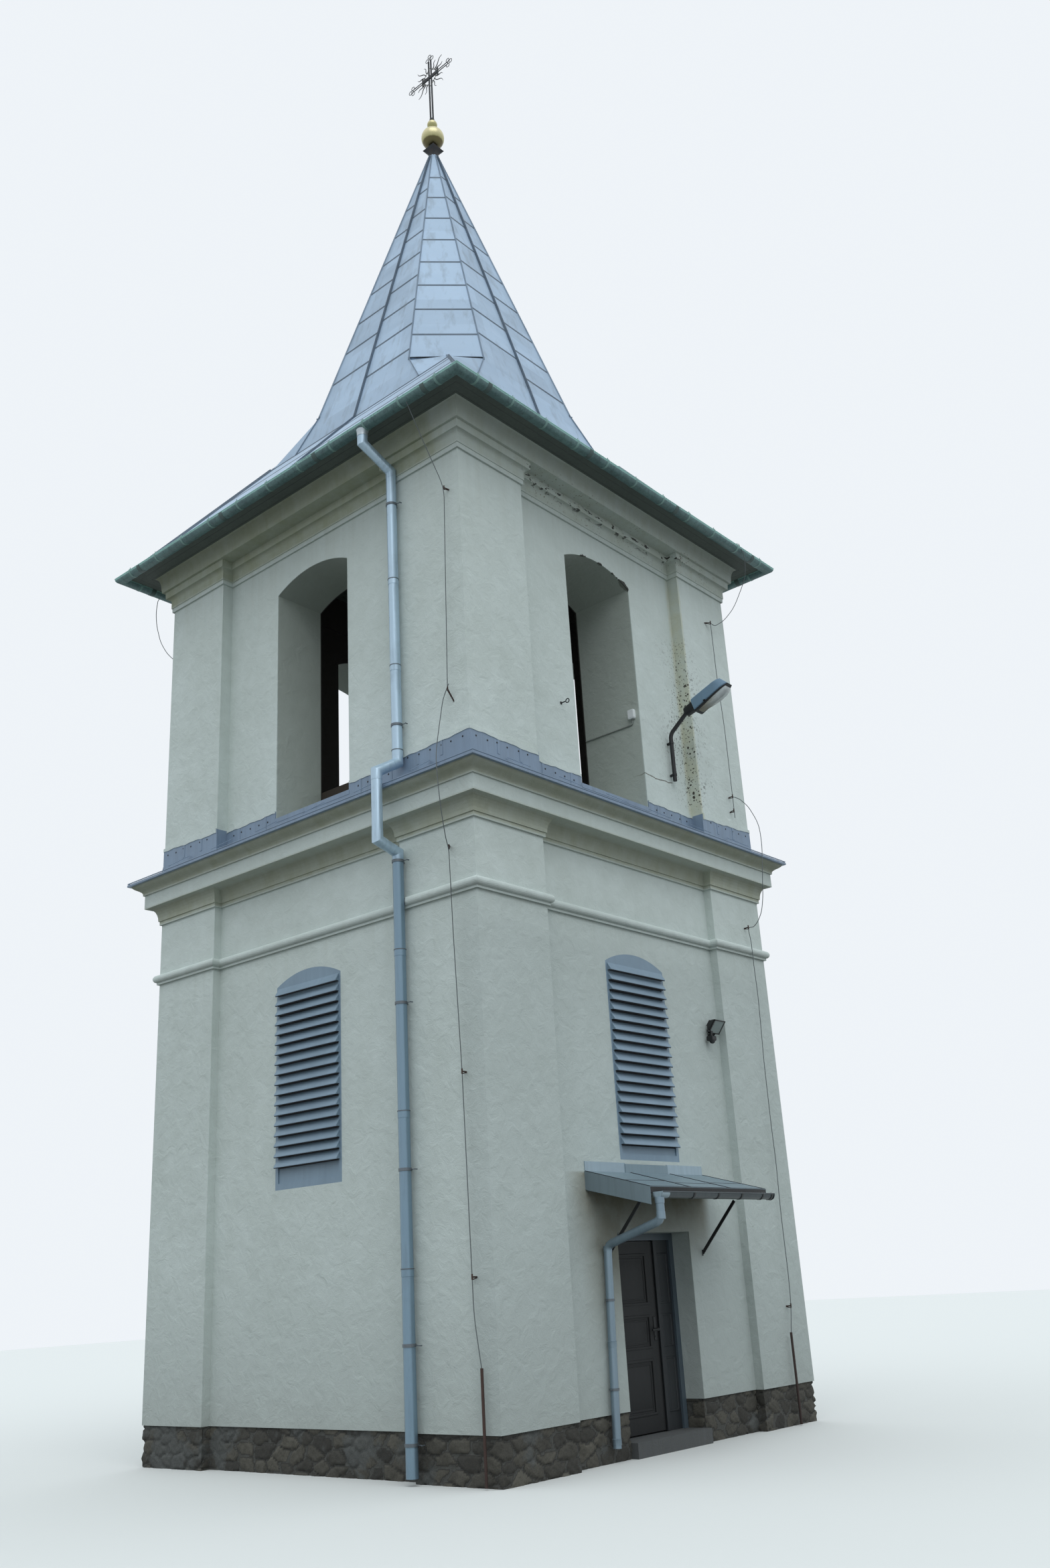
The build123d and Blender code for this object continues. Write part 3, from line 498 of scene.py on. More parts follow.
    # crack from the reveal of that opening to the foot of the lamp
    cracks = []
    for xa, za, xb, zb in ((0.644, 7.36, 0.93, 7.345), (0.93, 7.345, 1.22, 7.37)):
        line = abs(z - (x - xa) * ((zb - za) / (xb - xa)) - za + p.noise(9.0, 3.0, 0.5) * 0.05 - 0.025)
        cracks.append(line.step(0.009, 0.004) * x.within(xa - 0.001, xa, xb, xb + 0.001))
    base = p.mix(base, (78, 68, 54), door_face * cracks[0].larger(cracks[1]) * 0.85)
    # dirt splashed up over the plinth; painted shade in the deep reveals of the belfry openings; a warm brown
    # painted shadow under the canopy and beside the door
    base = p.mix(base, (168, 176, 172), z.step(1.9, 0.5) * (mid * 0.5 + broad * 0.5).step(0.3, 0.65) * 0.6)
    # painted shade on the reveals of the belfry openings
    through_y = abs(x).step(0.665, 0.655) * abs(y).step(2.492, 2.48)
    through_x = abs(y).step(0.665, 0.655) * abs(x).step(2.492, 2.48)
    base = p.mix(base, (160, 166, 154), through_y.larger(through_x) * z.step(6.8, 6.9) * 0.6)
    wall = y.step(-2.53, -2.545)
    # painted shadow, warm brown, on the wall under the canopy and down beside the door
    canopy_shadow = wall * x.within(-1.45, -1.1, 0.88, 1.02) * z.within(1.7, 2.45, 2.62, 2.64)
    door_side_shadow = wall * x.within(-1.3, -1.0, -0.62, -0.6) * z.within(0.9, 1.9, 2.62, 2.64)
    base = p.mix(base, (112, 104, 80), canopy_shadow.larger(door_side_shadow * 0.75) * (mid.step(0.3, 0.6) * 0.3 + 0.6))
    # inside the belfry and below it: raw grey render, painted nearly black as the shade inside
    base = p.mix(base, (46, 43, 39), abs(x).step(1.81, 1.80) * abs(y).step(1.64, 1.63))
    trowel = p.noise(7.0, 5.0, 0.55, warp=0.6)
    return p.finish(base, mid * 0.12 + 0.82, 0.0, p.bump(p.noise(95.0, 5.0, 0.65), 0.0028, p.bump(trowel, 0.012)))


def roof_paint(name, colour):
    """Galvanised roof sheet: each sheet its own tone, faint crystals, runs of dirt, gentle waves."""
    p = Paint(name)
    x, y, z = p.axes()
    facet = (x.maths("ARCTAN2", y, x) * (4 / math.pi) + 0.5).floor()
    row = (z / (SHEET_RUN * MM) + facet * 0.37).floor()
    tone = p.node("TexWhiteNoise", {"Vector": p.node("CombineXYZ", {0: facet, 1: row, 2: 0.0})}, "Value",
                  noise_dimensions="2D")
    crystal = p.node("SeparateColor", {0: p.cells(24.0, out="Color")})
    runs = p.streaks(5.0, 0.62, 7, 7, 0.8)
    broad = p.noise(1.1, 5.0, 0.6)
    base = p.mix(srgb(colour, 0.84), srgb(colour, 1.14), tone * 0.55 + broad.step(0.3, 0.7) * 0.35 + crystal * 0.1)
    base = p.mix(base, (120, 130, 138), runs.step(0.52, 0.75) * 0.55)
    wave = p.noise(1.3, 2.0, 0.4, at=p.scaled(1, 1, 1.6))
    return p.finish(base, crystal * 0.1 + broad * 0.14 + 0.46, 0.2,
                    p.bump(p.noise(60.0, 3.0, 0.5), 0.0007, p.bump(wave, 0.05)))


def gutter_coat():
    """Old green gutter paint: pale bloom in patches, the rim pale with bloom and a painted highlight, grey where it
    has worn through.
    """
    p = Paint("gutter_paint")
    z = p.axes()[2]
    patch = p.noise(3.1, 6.0, 0.65)
    fine = p.noise(38.0, 5.0, 0.7)
    runs = p.streaks(4.0, 0.6, 22, 22, 3)
    base = p.mix((70, 96, 98), (112, 144, 142), (patch * 0.6 + fine * 0.4).step(0.35, 0.65))
    base = p.mix(base, (64, 78, 82), runs.step(0.5, 0.7) * 0.6)
    # pale bloom and a painted highlight along the top of the rim
    rim = z.step(10.878, 10.892)
    base = p.mix(base, (158, 204, 196), rim * (fine * 0.5 + patch * 0.5).step(0.25, 0.5) * 0.9)
    return p.finish(base, fine * 0.2 + 0.45, 0.1, p.bump(fine, 0.0008))


def soffit_paint():
    """Painted boards parallel to the walls: a dark joint every 115 mm, counted out from the middle."""
    p = Paint("soffit_boards")
    x, y = p.axes()[:2]
    out = abs(x).larger(abs(y)) / 0.115
    joint = (out - out.floor()).step(0.07, 0.03)
    grain = p.noise(30.0, 4.0, 0.6)
    base = p.mix((72, 80, 75), (93, 101, 95), (p.noise(1.5, 5.0, 0.6) * 0.6 + grain * 0.4).step(0.3, 0.7))
    return p.finish(p.mix(base, (40, 44, 40), joint * 0.75), 0.75, 0.0, p.bump(grain * 0.2 - joint, 0.004))


def pipe_paint():
    """Zinc of the main downpipe: bright and new above the ledge, dull blue-grey below it."""
    p = Paint("downpipe_sheet")
    z = p.axes()[2]
    broad = p.noise(2.4, 5.0, 0.62)
    runs = p.streaks(4.0, 0.6, 24, 24, 1.3)
    base = p.mix((116, 140, 156), (182, 204, 220), z.step(5.75, 5.85) * 0.85 + broad * 0.15)
    base = p.mix(base, (92, 108, 118), (broad * 0.5 + runs * 0.5).step(0.5, 0.7) * 0.5)
    return p.finish(base, broad * 0.2 + 0.22, 0.45, p.bump(p.noise(90.0, 3.0, 0.6), 0.0005))


def stone_paint():
    """Field stones in lime mortar: the stone attribute gives each stone its tone, 0 is mortar."""
    p = Paint("rubble_stone")
    tone = p.node("Attribute", out="Fac", attribute_name="stone")
    fine = p.noise(70.0, 6.0, 0.7)
    patch = p.noise(9.0, 5.0, 0.6)
    stone = p.mix((50, 49, 46), (92, 89, 80), tone.step(0.1, 1.0))
    stone = p.mix(stone, (50, 48, 42), patch.step(0.45, 0.7) * 0.6)
    base = p.mix((76, 76, 72), stone, tone.step(0.02, 0.08))
    base = p.mix(base, (84, 86, 84), p.noise(1.6, 4.0, 0.6).step(0.55, 0.60) * 0.85)
    base = p.mix(base, (34, 35, 32), fine.step(0.50, 0.72) * 0.5)
    return p.finish(base, fine * 0.1 + 0.86, 0.0, p.bump(fine, 0.004, p.bump(patch, 0.01)))


def gilt_paint():
    """Thin old gilding: pale greenish gold above; below each ball's middle, painted shade from dull green-gold to
    nearly black.
    """
    p = Paint("gilt")
    z = p.axes()[2]
    patch = p.noise(9.0, 4.0, 0.6)
    # the lower part of the ball and of the knob painted darker as their shade
    ball_shade, knob_shade = (z + patch * 0.06).step(18.85, 18.75), (z + patch * 0.04).step(19.13, 19.08)
    base = p.mix((218, 208, 164), (150, 148, 96), ball_shade.larger(knob_shade * z.step(19.0, 19.01)) * 0.8)
    base = p.mix(base, (80, 68, 38), (z + patch * 0.02).step(18.742, 18.724) * 0.85)
    base = p.mix(base, (40, 34, 24), (z + patch * 0.05).step(18.70, 18.64) * 0.85)
    return p.finish(base, patch * 0.2 + 0.22, 0.6)


def bowl_paint():
    """Cast plastic bowl: clear grey at its outer end, gone brown near the neck, dusty inside."""
    p = Paint("lamp_glass")
    y = p.axes()[1]
    dust = p.noise(18.0, 4.0, 0.6)
    base = p.mix((236, 242, 242), (186, 178, 156), y.step(-3.36, -3.12))
    return p.finish(base, dust * 0.15 + 0.12, 0.0, Alpha=dust * 0.3 + 0.42)


# By name, without the number that Blender adds where the frame has a material of that name. The coats give
# colour, roughness, metal, share of grime and its colour.
PAINTS = {paint.name.partition(".")[0]: paint for paint in (
    plaster_paint(), stone_paint(), soffit_paint(), gutter_coat(), pipe_paint(), gilt_paint(), bowl_paint(),
    # the seams take a darker tone than the sheets, as painted shade along them
    roof_paint("roof_sheet", (164, 184, 204)), roof_paint("roof_seam", (88, 102, 116)),
    roof_paint("roof_edge", (132, 148, 164)),
    coat("concrete", (84, 86, 86), 0.85, grime=0.35, grain=60, depth=0.003),
    coat("timber", (58, 50, 42), 0.85, grain=40, depth=0.002),
    coat("ledge_sheet", (126, 144, 164), 0.5, 0.15, 0.4, (86, 92, 92)),
    coat("gutter_strap", (124, 158, 152), 0.45, 0.15, 0.35, (80, 96, 92)),
    coat("gutter_joint", (72, 92, 90), 0.5, 0.1, 0.3),
    coat("bright_sheet", (196, 206, 212), 0.34, 0.5, 0.2, (120, 130, 136)),
    coat("clamp_zinc", (104, 112, 118), 0.5, 0.5, 0.35, (80, 66, 52)),
    coat("slat_paint", (123, 144, 160), 0.5, 0.0, 0.25, (98, 110, 122)),
    # door and side leaf: near-black paint, made darker still as painted shade under the canopy
    coat("door_paint", (9, 12, 14), 0.7, 0.0, 0.08, (70, 72, 68)),
    coat("side_leaf_paint", (22, 27, 31), 0.6, 0.0, 0.12, (90, 92, 88)),
    coat("frame_paint", (74, 86, 94), 0.5, 0.0, 0.2),
    coat("canopy_sheet", (140, 152, 160), 0.45, 0.3, 0.35, (96, 104, 104)),
    coat("canopy_gutter_sheet", (112, 122, 128), 0.42, 0.35, 0.35, (80, 86, 88)),
    coat("canopy_light", (122, 141, 150), 0.5, 0.2, 0.45, (92, 102, 102)),
    coat("canopy_zinc", (150, 168, 178), 0.42, 0.3, 0.4, (108, 118, 122)),
    coat("canopy_grey", (118, 133, 140), 0.5, 0.2, 0.4, (82, 90, 92)),
    coat("seam_shade", (52, 58, 64), 0.5, 0.25, 0.3),
    coat("gutter_dark", (58, 66, 70), 0.4, 0.35, 0.3, (92, 100, 98)),
    coat("thin_pipe_zinc", (128, 146, 158), 0.38, 0.45, 0.3, (88, 98, 102)),
    coat("pale_iron", (150, 150, 142), 0.5, 0.4, 0.3),
    coat("conduit_grey", (150, 156, 150), 0.55, 0.0, 0.3),
    coat("flood_glass", (108, 124, 122), 0.12, 0.2, 0.2, vary=0.03),
    # near black for pieces that stand for shade: the strips in the louvres and the plate under the spire's lip
    coat("shade_black", (22, 23, 28), 0.9, 0.0, 0.1, vary=0.02),
    coat("hook_rust", (52, 38, 34), 0.7, 0.1, 0.3, (96, 60, 44)),
    coat("iron", (46, 50, 54), 0.55, 0.35, 0.3, (92, 60, 38)),
    coat("lamp_paint", (122, 150, 172), 0.5, 0.1),
    coat("black_metal", (26, 28, 30), 0.5, 0.2, 0.2, (70, 66, 60)),
    coat("box_plastic", (236, 240, 240), 0.5),
    coat("conductor_wire", (96, 102, 104), 0.5, 0.5, 0.3))}

# Each solid takes the finish of its slot, save the belfry floor, which shows as raw concrete
for node_name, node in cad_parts.items():
    slot_name = "concrete" if node_name == "belfry_floor" else node.data.materials[0].name
    node.data.materials.clear()
    node.data.materials.append(PAINTS[slot_name])


# ---- Roof: standing seams on every ridge, a seam up the middle of the wide faces, flat seams across ----

def spire_at(z):
    """Side distance and half width of the spire's wide faces at a height."""
    t = (z - DRIP_Z) / (SPIRE_TOP - DRIP_Z)
    return DRIP_C + (TIP_C - DRIP_C) * t, DRIP_B + (TIP_B - DRIP_B) * t


def eaves_at(z):
    """Side distance of the lower roof at a height, on the straight line from the eaves to the fold."""
    return EAVES_HALF + (FOLD_HALF - EAVES_HALF) * (z - EAVES_Z) / (FOLD_Z - EAVES_Z)


def rib(a, b, out, wide, high):
    """Standing seam: two upright folds side by side with a shadow line between them."""
    w = wide / 2
    return carried(a, b, [(-w, -10), (w, -10), (w * 0.8, high), (w * 0.25, high), (0, high * 0.3),
                          (-w * 0.25, high), (-w * 0.8, high)], np.array(out))


def lap(a, b, out, wide=34, high=5):
    """Flat seam: a low ridge whose lower side drops sharply."""
    w = wide / 2
    return carried(a, b, [(-w, -3), (w, -3), (w, 0.8), (-w + 5, high), (-w, high)], np.array(out))


top, seams_end = SPIRE_TOP - 60, SPIRE_TOP - 260
c0, b0 = spire_at(DRIP_Z)
c1, b1 = spire_at(top)
hip_fold, hip_drip = (FOLD_HALF, -FOLD_HALF, FOLD_Z), (HIP, -HIP, DRIP_Z)
low_in, low_edge = EAVES_HALF - 40, EAVES_HALF - 60
solid("roof_standing_seams", all_round(
    rib((0, -c0 + 4, DRIP_Z), (0, -c1 + 4, top), (0, -1, 0.3), 22, 34),
    rib((0, -FOLD_HALF, FOLD_Z), (0, -c0, DRIP_Z), (0, -1, 0.3), 20, 30),
    rib((0, -low_in, EAVES_Z + 48), (0, -FOLD_HALF, FOLD_Z), (0, -1, 0.8), 18, 26),
    rib((low_in, -low_in, EAVES_Z + 48), hip_fold, (1, -1, 0.9), 24, 34)), "roof_seam")
ridges = [rib(hip_fold, hip_drip, (1, -1, 0.5), 16, 20),
          rib((low_edge, -low_edge, EAVES_Z + 80), hip_fold, (1, -1, 0.9), 18, 20)]
for s in (1, -1):
    ridges += [rib((s * b0, -c0, DRIP_Z), (s * b1, -c1, top), (s * 0.4, -1, 0.3), 16, 17),
               rib((s * FOLD_B, -FOLD_HALF, FOLD_Z), (s * b0, -c0, DRIP_Z), (s * 0.2, -1, 0.3), 14, 15)]
solid("roof_ridge_seams", all_round(*ridges), "roof_edge")

laps = [lap((-FOLD_HALF, -FOLD_HALF, FOLD_Z), (FOLD_HALF, -FOLD_HALF, FOLD_Z), (0, -1, 0.5), 30, 7),
        lap((b0 - 12, -c0 - 8, DRIP_Z + 2), (c0 + 8, -b0 + 12, DRIP_Z + 2), (1, -1, 0.3), 40, 12)]
for i in range(9):
    low = DRIP_Z + SHEET_RUN * i
    for z, left, right in ((low + LAP_UP, -1, 0), (low + LAP_UP - LAP_BACK, 0, 1)):
        if DRIP_Z + LAP_UP < z < seams_end:
            c, b = spire_at(z)
            laps.append(lap((left * b, -c, z), (right * b, -c, z), (0, -1, 0.3)))
    z = low + CORNER_LAP
    if z < seams_end:
        c, b = spire_at(z)
        laps.append(lap((b, -c, z), (c, -b, z), (1, -1, 0.3)))
for z in (EAVES_Z + 560, EAVES_Z + 1130):
    for up, left, right in ((0, -1, 0), (280, 0, 1)):
        e = eaves_at(z + up)
        laps.append(lap((left * e, -e, z + up), (right * e, -e, z + up), (0, -1, 0.8)))
# the corner facets of the spire end in a lip that stands out over the skirt, with its shade under it
lip = (c0 - b0 - DRIP_OUT) / math.sqrt(2) + 16
apron = [(-lip, -20), (-lip, 10), (-lip * 0.5, 18), (0, 22), (lip * 0.5, 18), (lip, 10), (lip, -20)]
lip_middle = (b0 + c0 + DRIP_OUT) / 2 * (X - Y)
for name, z, paint in (("roof_drip_shadow", DRIP_Z - 1, "shade_black"),
                       ("roof_drip_edge", DRIP_Z + 8, "roof_sheet")):
    solid(name, all_round(plate(apron, 9, lip_middle + Z * z, unit(X + Y), unit(X - Y))), paint)
solid("roof_flat_seams", all_round(*laps), "roof_seam")

# ---- Sheet metal: gutter, downpipe, flashing ----

shell = np.concatenate([arc(72, 180, 360, 15), arc(67, 360, 180, 15)])
bead = arc(8, 0, 360, 9)[:-1] + [68, 2]
eaves_line = ring_path(GUTTER_HALF, GUTTER_Z)
solid("eaves_gutter_trough", [swept(eaves_line, shell, Z, True), swept(eaves_line, bead, Z, True)], "gutter_paint",
      hides=["eaves_gutter"], smooth=40)
# bracket: a strap under the trough whose tail stands up over the rim
strap = swept(across([*arc(72.3, 176, 362, 13), (71.8, 9), (68.5, 17), (61, 27)]), box_profile(6, 30, 0.8), X)
tail = bar((0, -62, 25), (0, -58, 44), 9, 4, X)
brackets = [(BRACKET_RUN * i, -GUTTER_HALF, GUTTER_Z) for i in range(-5, 6)]
solid("gutter_brackets", all_round(repeated(joined(strap, tail), brackets)), "gutter_strap")
# joints: a wider band lapped over the trough on both sides of every corner and twice along each side
lapped = swept(across(arc(73, 179, 361, 13)), box_profile(3, 64, 0.8), X)
joints = [(x, -GUTTER_HALF, GUTTER_Z) for x in (-2690, -900, 880, 2690)]
solid("gutter_joints", all_round(repeated(lapped, joints)), "gutter_joint", smooth=30)


def sleeve(r, *pairs, sides=24, at):
    """Band round a pipe of radius r: pairs are how far it stands out from the pipe, and its height."""
    return lathe([(r + out, up) for out, up in pairs], sides, at)


# main downpipe: tube with bent elbows, sockets at the joints, clamps with their screws
pipe_run = np.array([(-3159, -1660, 10865), (-3159, -1660, 10680), (-2735, -1672, 10490), (-2735, -1672, 6870),
                     (-3035, -1660, 6696), (-3035, -1660, 5950), (-2738, -1644, 5872), (-2738, -1644, 60)], float)
pipe, clamps = [mitred(pipe_run, PIPE_R - 2)], []
for a, b, c in zip(pipe_run, pipe_run[1:], pipe_run[2:]):
    before, after = (min(np.linalg.norm(end - b) * 0.45, 95) for end in (a, c))
    pipe.append(mitred([b + unit(a - b) * before, b, b + unit(c - b) * after], PIPE_R))
for x, y, sockets, clips in ((-2735, -1672, (9062, 7997, 6997), (10040, 7297)),
                             (-2738, -1644, (4835, 3240, 1800), (5776, 4300, 2700, 1150, 330))):
    for z in sockets:
        pipe.append(sleeve(PIPE_R, (-3, -60), (0.5, -58), (1, 2), (3, 5), (3, 12), (-3, 15), at=(x, y, z)))
        clamps.append(sleeve(PIPE_R, (2, 3), (4.5, 4), (4.5, 13), (2, 14), at=(x, y, z)))
    for z in clips:
        clamps += [sleeve(PIPE_R, (0, -15), (4.5, -14), (4.5, 14), (0, 15), at=(x, y, z)),
                   bar((x + PIPE_R, y, z), (-2640, y, z), 20, 6),
                   bar((x + 20, y - PIPE_R + 4, z), (x + 20, y - PIPE_R - 62, z - 4), 7, 7, X),
                   bar((x + 8, y - PIPE_R - 60, z - 4), (x + 42, y - PIPE_R - 60, z - 4), 10, 10)]
solid("main_downpipe", pipe, "downpipe_sheet", hides=["downpipe"], smooth=30)
funnel = sleeve(PIPE_R, (3, -70), (4, -10), (10, 4), (11, 12), (0, 14), at=(-3159, -1660, 10836))
solid("downpipe_outlet", funnel, "bright_sheet", smooth=30)
solid("downpipe_clamps", clamps, "clamp_zinc", smooth=30)

# ledge flashing: rolled drip edge, lapped joints on the slope and the upstand
folds = [bar((x, -LEDGE_HALF + 6, 6602), (x, -2676, 6786), 26, 6, (0, -1, 1.5))
         for x in (-2100, -1250, -420, 410, 1240, 2080)]
for places, y, low in (((-2230, -1880, 1900, 2250), -PIER_SHEET - 1.5, 6800),
                       ((-1330, -830, 830, 1330), -WALL_SHEET - 1.5, 6700)):
    folds += [bar((x, y, low), (x, y, 6996), 34, 5, Y) for x in places]
drip_bead = swept(ring_path(LEDGE_HALF - 7, 6571), arc(6.5, 0, 360, 7)[:-1], Z, True)
solid("ledge_joints", [drip_bead, all_round(*folds)], "ledge_sheet")


def plaster_lap(x1, x2, z1, z2, y):
    """Plaster over the top of the upstand; its lower edge runs from z1 to z2 with small waves."""
    x = np.linspace(x1, x2, 25)
    t = (x - x1) / (x2 - x1)
    low = z1 + (z2 - z1) * t + 5 * np.sin(17 * t + x1) + 3 * np.sin(41 * t)
    return plate([*zip(x, low), (x2, LEDGE_TOP + 14), (x1, LEDGE_TOP + 14)], 17, (0, y, 0), X, Z)


solid("ledge_plaster", all_round(
    plaster_lap(PIER_IN + 2, HALF + 10, 6936, 6974, 1 - HALF),
    plaster_lap(-HALF - 10, -PIER_IN - 2, 6978, 6950, 1 - HALF),
    plaster_lap(OPEN_HALF + 6, PIER_IN - 2, 6984, 6974, 1 - UP_FACE),
    plaster_lap(-PIER_IN + 2, -OPEN_HALF - 6, 6978, 6986, 1 - UP_FACE)), "plaster", smooth=30)
rng = np.random.default_rng(11)
nails = []
for x in np.arange(-2560, 2600, 160.0):
    on_pier = abs(x) > PIER_IN + 60
    if on_pier or OPEN_HALF + 40 < abs(x) < PIER_IN - 40:
        nails.append((x + rng.uniform(-12, 12), -PIER_SHEET if on_pier else -WALL_SHEET,
                      NAIL_Z + rng.uniform(-8, 8)))
nail = lathe([(11, -1), (10, 3), (5, 6)], 8, axis=-Y)
solid("ledge_nails", all_round(repeated(nail, nails)), "black_metal", smooth=60)


# ---- Canopy over the door ----

def at_wall(x, out, z):
    """Point at a distance out from the wall of the lower storey."""
    return np.array((x, -LOW_FACE - out, z), float)


def on_canopy(x, out, lift=0.0):
    """Point on the canopy's sheet at a distance out from the wall."""
    return at_wall(x, out, CAN_WALL_Z + CAN_FALL * out / CAN_OUT + lift)


canopy_up = np.cross(X, (0, -1, CAN_FALL / CAN_OUT))
canopy_up = unit(canopy_up if canopy_up[2] > 0 else -canopy_up)


def side_sheet(x, rise):
    """Side of the canopy: deep at the wall, shallow at the front, with its lower edge rolled."""
    inward = 1 if x < 0 else -1
    low_wall, low_front = CAN_WALL_Z - 182, CAN_WALL_Z - 182 + CAN_FALL + rise
    front = LOW_FACE + CAN_OUT - 2
    flat = [(LOW_FACE, CAN_WALL_Z - 2), (front, CAN_EDGE_Z - 2), (front, low_front), (LOW_FACE, low_wall)]
    roll = tube([at_wall(x + 3 * inward, 4, low_wall + 3), (x + 3 * inward, CAN_FRONT + 4, low_front + 3)], 5, 8)
    return joined(plate(flat, 4 * inward, (x, 0, 0), -Y, Z), roll)


boards = []
for i in range(7):
    out = 64 + 111 * i
    z = CAN_WALL_Z - 172 + (CAN_FALL + 80) * out / CAN_OUT
    boards.append(bar(at_wall(CAN_LEFT + 6, out, z), at_wall(CAN_RIGHT - 6, out, z), 106, 16, (0, 0.2, 1), 2))
solid("canopy_boards", boards, "soffit_boards")
solid("canopy_sides", [side_sheet(CAN_LEFT, 17), side_sheet(CAN_RIGHT, 92)], "canopy_grey",
      smooth=40)
top_sheet = bar(on_canopy(CAN_LEFT, CAN_OUT / 2, -3), on_canopy(CAN_RIGHT, CAN_OUT / 2, -3),
                math.hypot(CAN_OUT, CAN_FALL) - 2, 6, canopy_up, 0.5)
solid("canopy_sheet_top", top_sheet, "canopy_light", hides=["canopy"])
fascia_z = CAN_EDGE_Z - 34
fascia = bar((CAN_LEFT + 2, CAN_FRONT + 3, fascia_z), (CAN_RIGHT - 2, CAN_FRONT + 3, fascia_z), 5, 60, Z, 1)
solid("canopy_fascia", fascia, "black_metal")
# seams (x, out, lift at both ends, width, height, soft): two down the slope, laps across, the three rims
near, far = CAN_OUT - 4, CAN_OUT - 12
solid("canopy_seams", [bar(on_canopy(x1, out1, lift), on_canopy(x2, out2, lift), wide, high, canopy_up, soft)
                       for x1, out1, x2, out2, lift, wide, high, soft in (
    (-386, 12, -453, CAN_OUT - 6, 1, 26, 8, 2), (319, 12, 262, CAN_OUT - 6, 1, 26, 8, 2),
    (CAN_LEFT + 14, 470, -440, 470, 0, 10, 6, 1.5), (-412, 560, 272, 560, 0, 10, 6, 1.5),
    (300, 500, CAN_RIGHT - 16, 500, 0, 10, 6, 1.5), (CAN_LEFT + 6, 8, CAN_LEFT + 6, near, 1, 14, 8, 2),
    (CAN_RIGHT - 8, 8, CAN_RIGHT - 8, near, 1, 14, 8, 2), (CAN_LEFT + 2, far, CAN_RIGHT - 2, far, 0, 18, 6, 2))],
    "seam_shade")
upstand = [slab(x1, x2, -LOW_FACE - out, -LOW_FACE - out + deep, CAN_WALL_Z - 10, CAN_WALL_Z + high)
           for x1, x2, out, deep, high in ((CAN_LEFT, -474, 9, 8, 94), (-480, 272, 15, 6, 84),
                                           (264, CAN_RIGHT - 14, 9, 8, 92))]
solid("canopy_upstand", upstand[::2], "canopy_zinc")
solid("canopy_upstand_middle", upstand[1], "canopy_light")
struts = []
for x in (-870, 802):
    struts += [bar(at_wall(x, 4, 1826), at_wall(x, 470, 2330), 12, 34, (0, 1, 1), 1),
               bar(at_wall(x, 4, 1800), at_wall(x, 4, 1862), 16, 7, Y, 1)]
solid("canopy_struts", struts, "black_metal")


# its half-round gutter with brackets and end pieces, and the thin pipe that runs down beside the door
def half_round(x1, x2, outer, inner):
    """Length of the canopy's gutter as a half ring between two radii."""
    return swept([(x1, CG_Y, CG_Z), (x2, CG_Y, CG_Z)],
                 np.concatenate([arc(outer, 180, 360, 13), arc(inner, 360, 180, 13)]), Z)


ends = [plate([*arc(CG_R + 3, 180, 360, 17), (CG_R + 3, 9), (-CG_R - 3, 9)], 6, (x, CG_Y, CG_Z), Y, Z)
        for x in (CG_LEFT, CG_RIGHT - 6)]
rim = swept([(CG_LEFT + 4, CG_Y, CG_Z), (CG_RIGHT - 4, CG_Y, CG_Z)], arc(8, 0, 360, 9)[:-1] + [CG_R - 6, 4], Z)
solid("canopy_gutter_trough", [half_round(CG_LEFT + 4, CG_RIGHT - 4, CG_R - 4, CG_R - 8), rim, ends[1]],
      "gutter_dark", hides=["canopy_gutter"], smooth=40)
solid("canopy_gutter_end", [half_round(CG_LEFT, CG_LEFT + 130, CG_R - 1, CG_R - 4), ends[0]], "canopy_zinc",
      smooth=40)
clip = swept(across([*arc(CG_R, 178, 362, 13), (CG_R - 5, 8), (CG_R - 16, 14)]), box_profile(3, 26, 0.6), X)
clips = repeated(joined(clip, bar((0, 48, -2), (0, 70, 30), 24, 5)),
                 [(x, CG_Y, CG_Z) for x in (-560, -130, 300, 700, CG_RIGHT - 44)])
solid("canopy_gutter_clips", clips, "black_metal", smooth=30)
thin_run = np.array([(-1090, CG_Y, CG_Z - 40), (-1090, CG_Y, 2113), (-935, -2611, 1930), (-1010, -2611, 130)], float)


def down_thin_pipe(t):
    """Point at the share t of the way from the thin pipe's lower bend to its foot."""
    return thin_run[2] * (1 - t) + thin_run[3] * t


thin_pipe = [tube(rounded(thin_run, 70, 4), THIN_R - 2, 20)]
thin_pipe += [sleeve(THIN_R, (-3, -26), (0.5, -24), (1, 22), (3, 26), (-3, 30), sides=20, at=down_thin_pipe(t))
              for t in (0.02, 0.5, 0.97)]
thin_pipe += [sleeve(THIN_R, (-3, -40), (1, -38), (1, 30), (-3, 32), sides=20, at=(-1090, CG_Y, 2160)),
              sleeve(THIN_R, (-3, -30), (2, -28), (4, 24), (-3, 28), sides=20, at=(-1090, CG_Y, CG_Z - 70))]
solid("canopy_downpipe", thin_pipe, "thin_pipe_zinc", smooth=40)
clamps = []
for at in (down_thin_pipe(0.28), down_thin_pipe(0.72)):
    clamps += [sleeve(THIN_R, (0, -12), (4, -11), (4, 11), (0, 12), sides=20, at=at),
               bar(at + Y * (THIN_R - 2), at_wall(at[0], 2, at[2]), 16, 5),
               bar(at - X * THIN_R, at - X * (THIN_R + 26), 20, 6)]
solid("canopy_pipe_clamps", clamps, "clamp_zinc", smooth=30)


# ---- Door: mouldings round the sunk panels, strips and lock ----

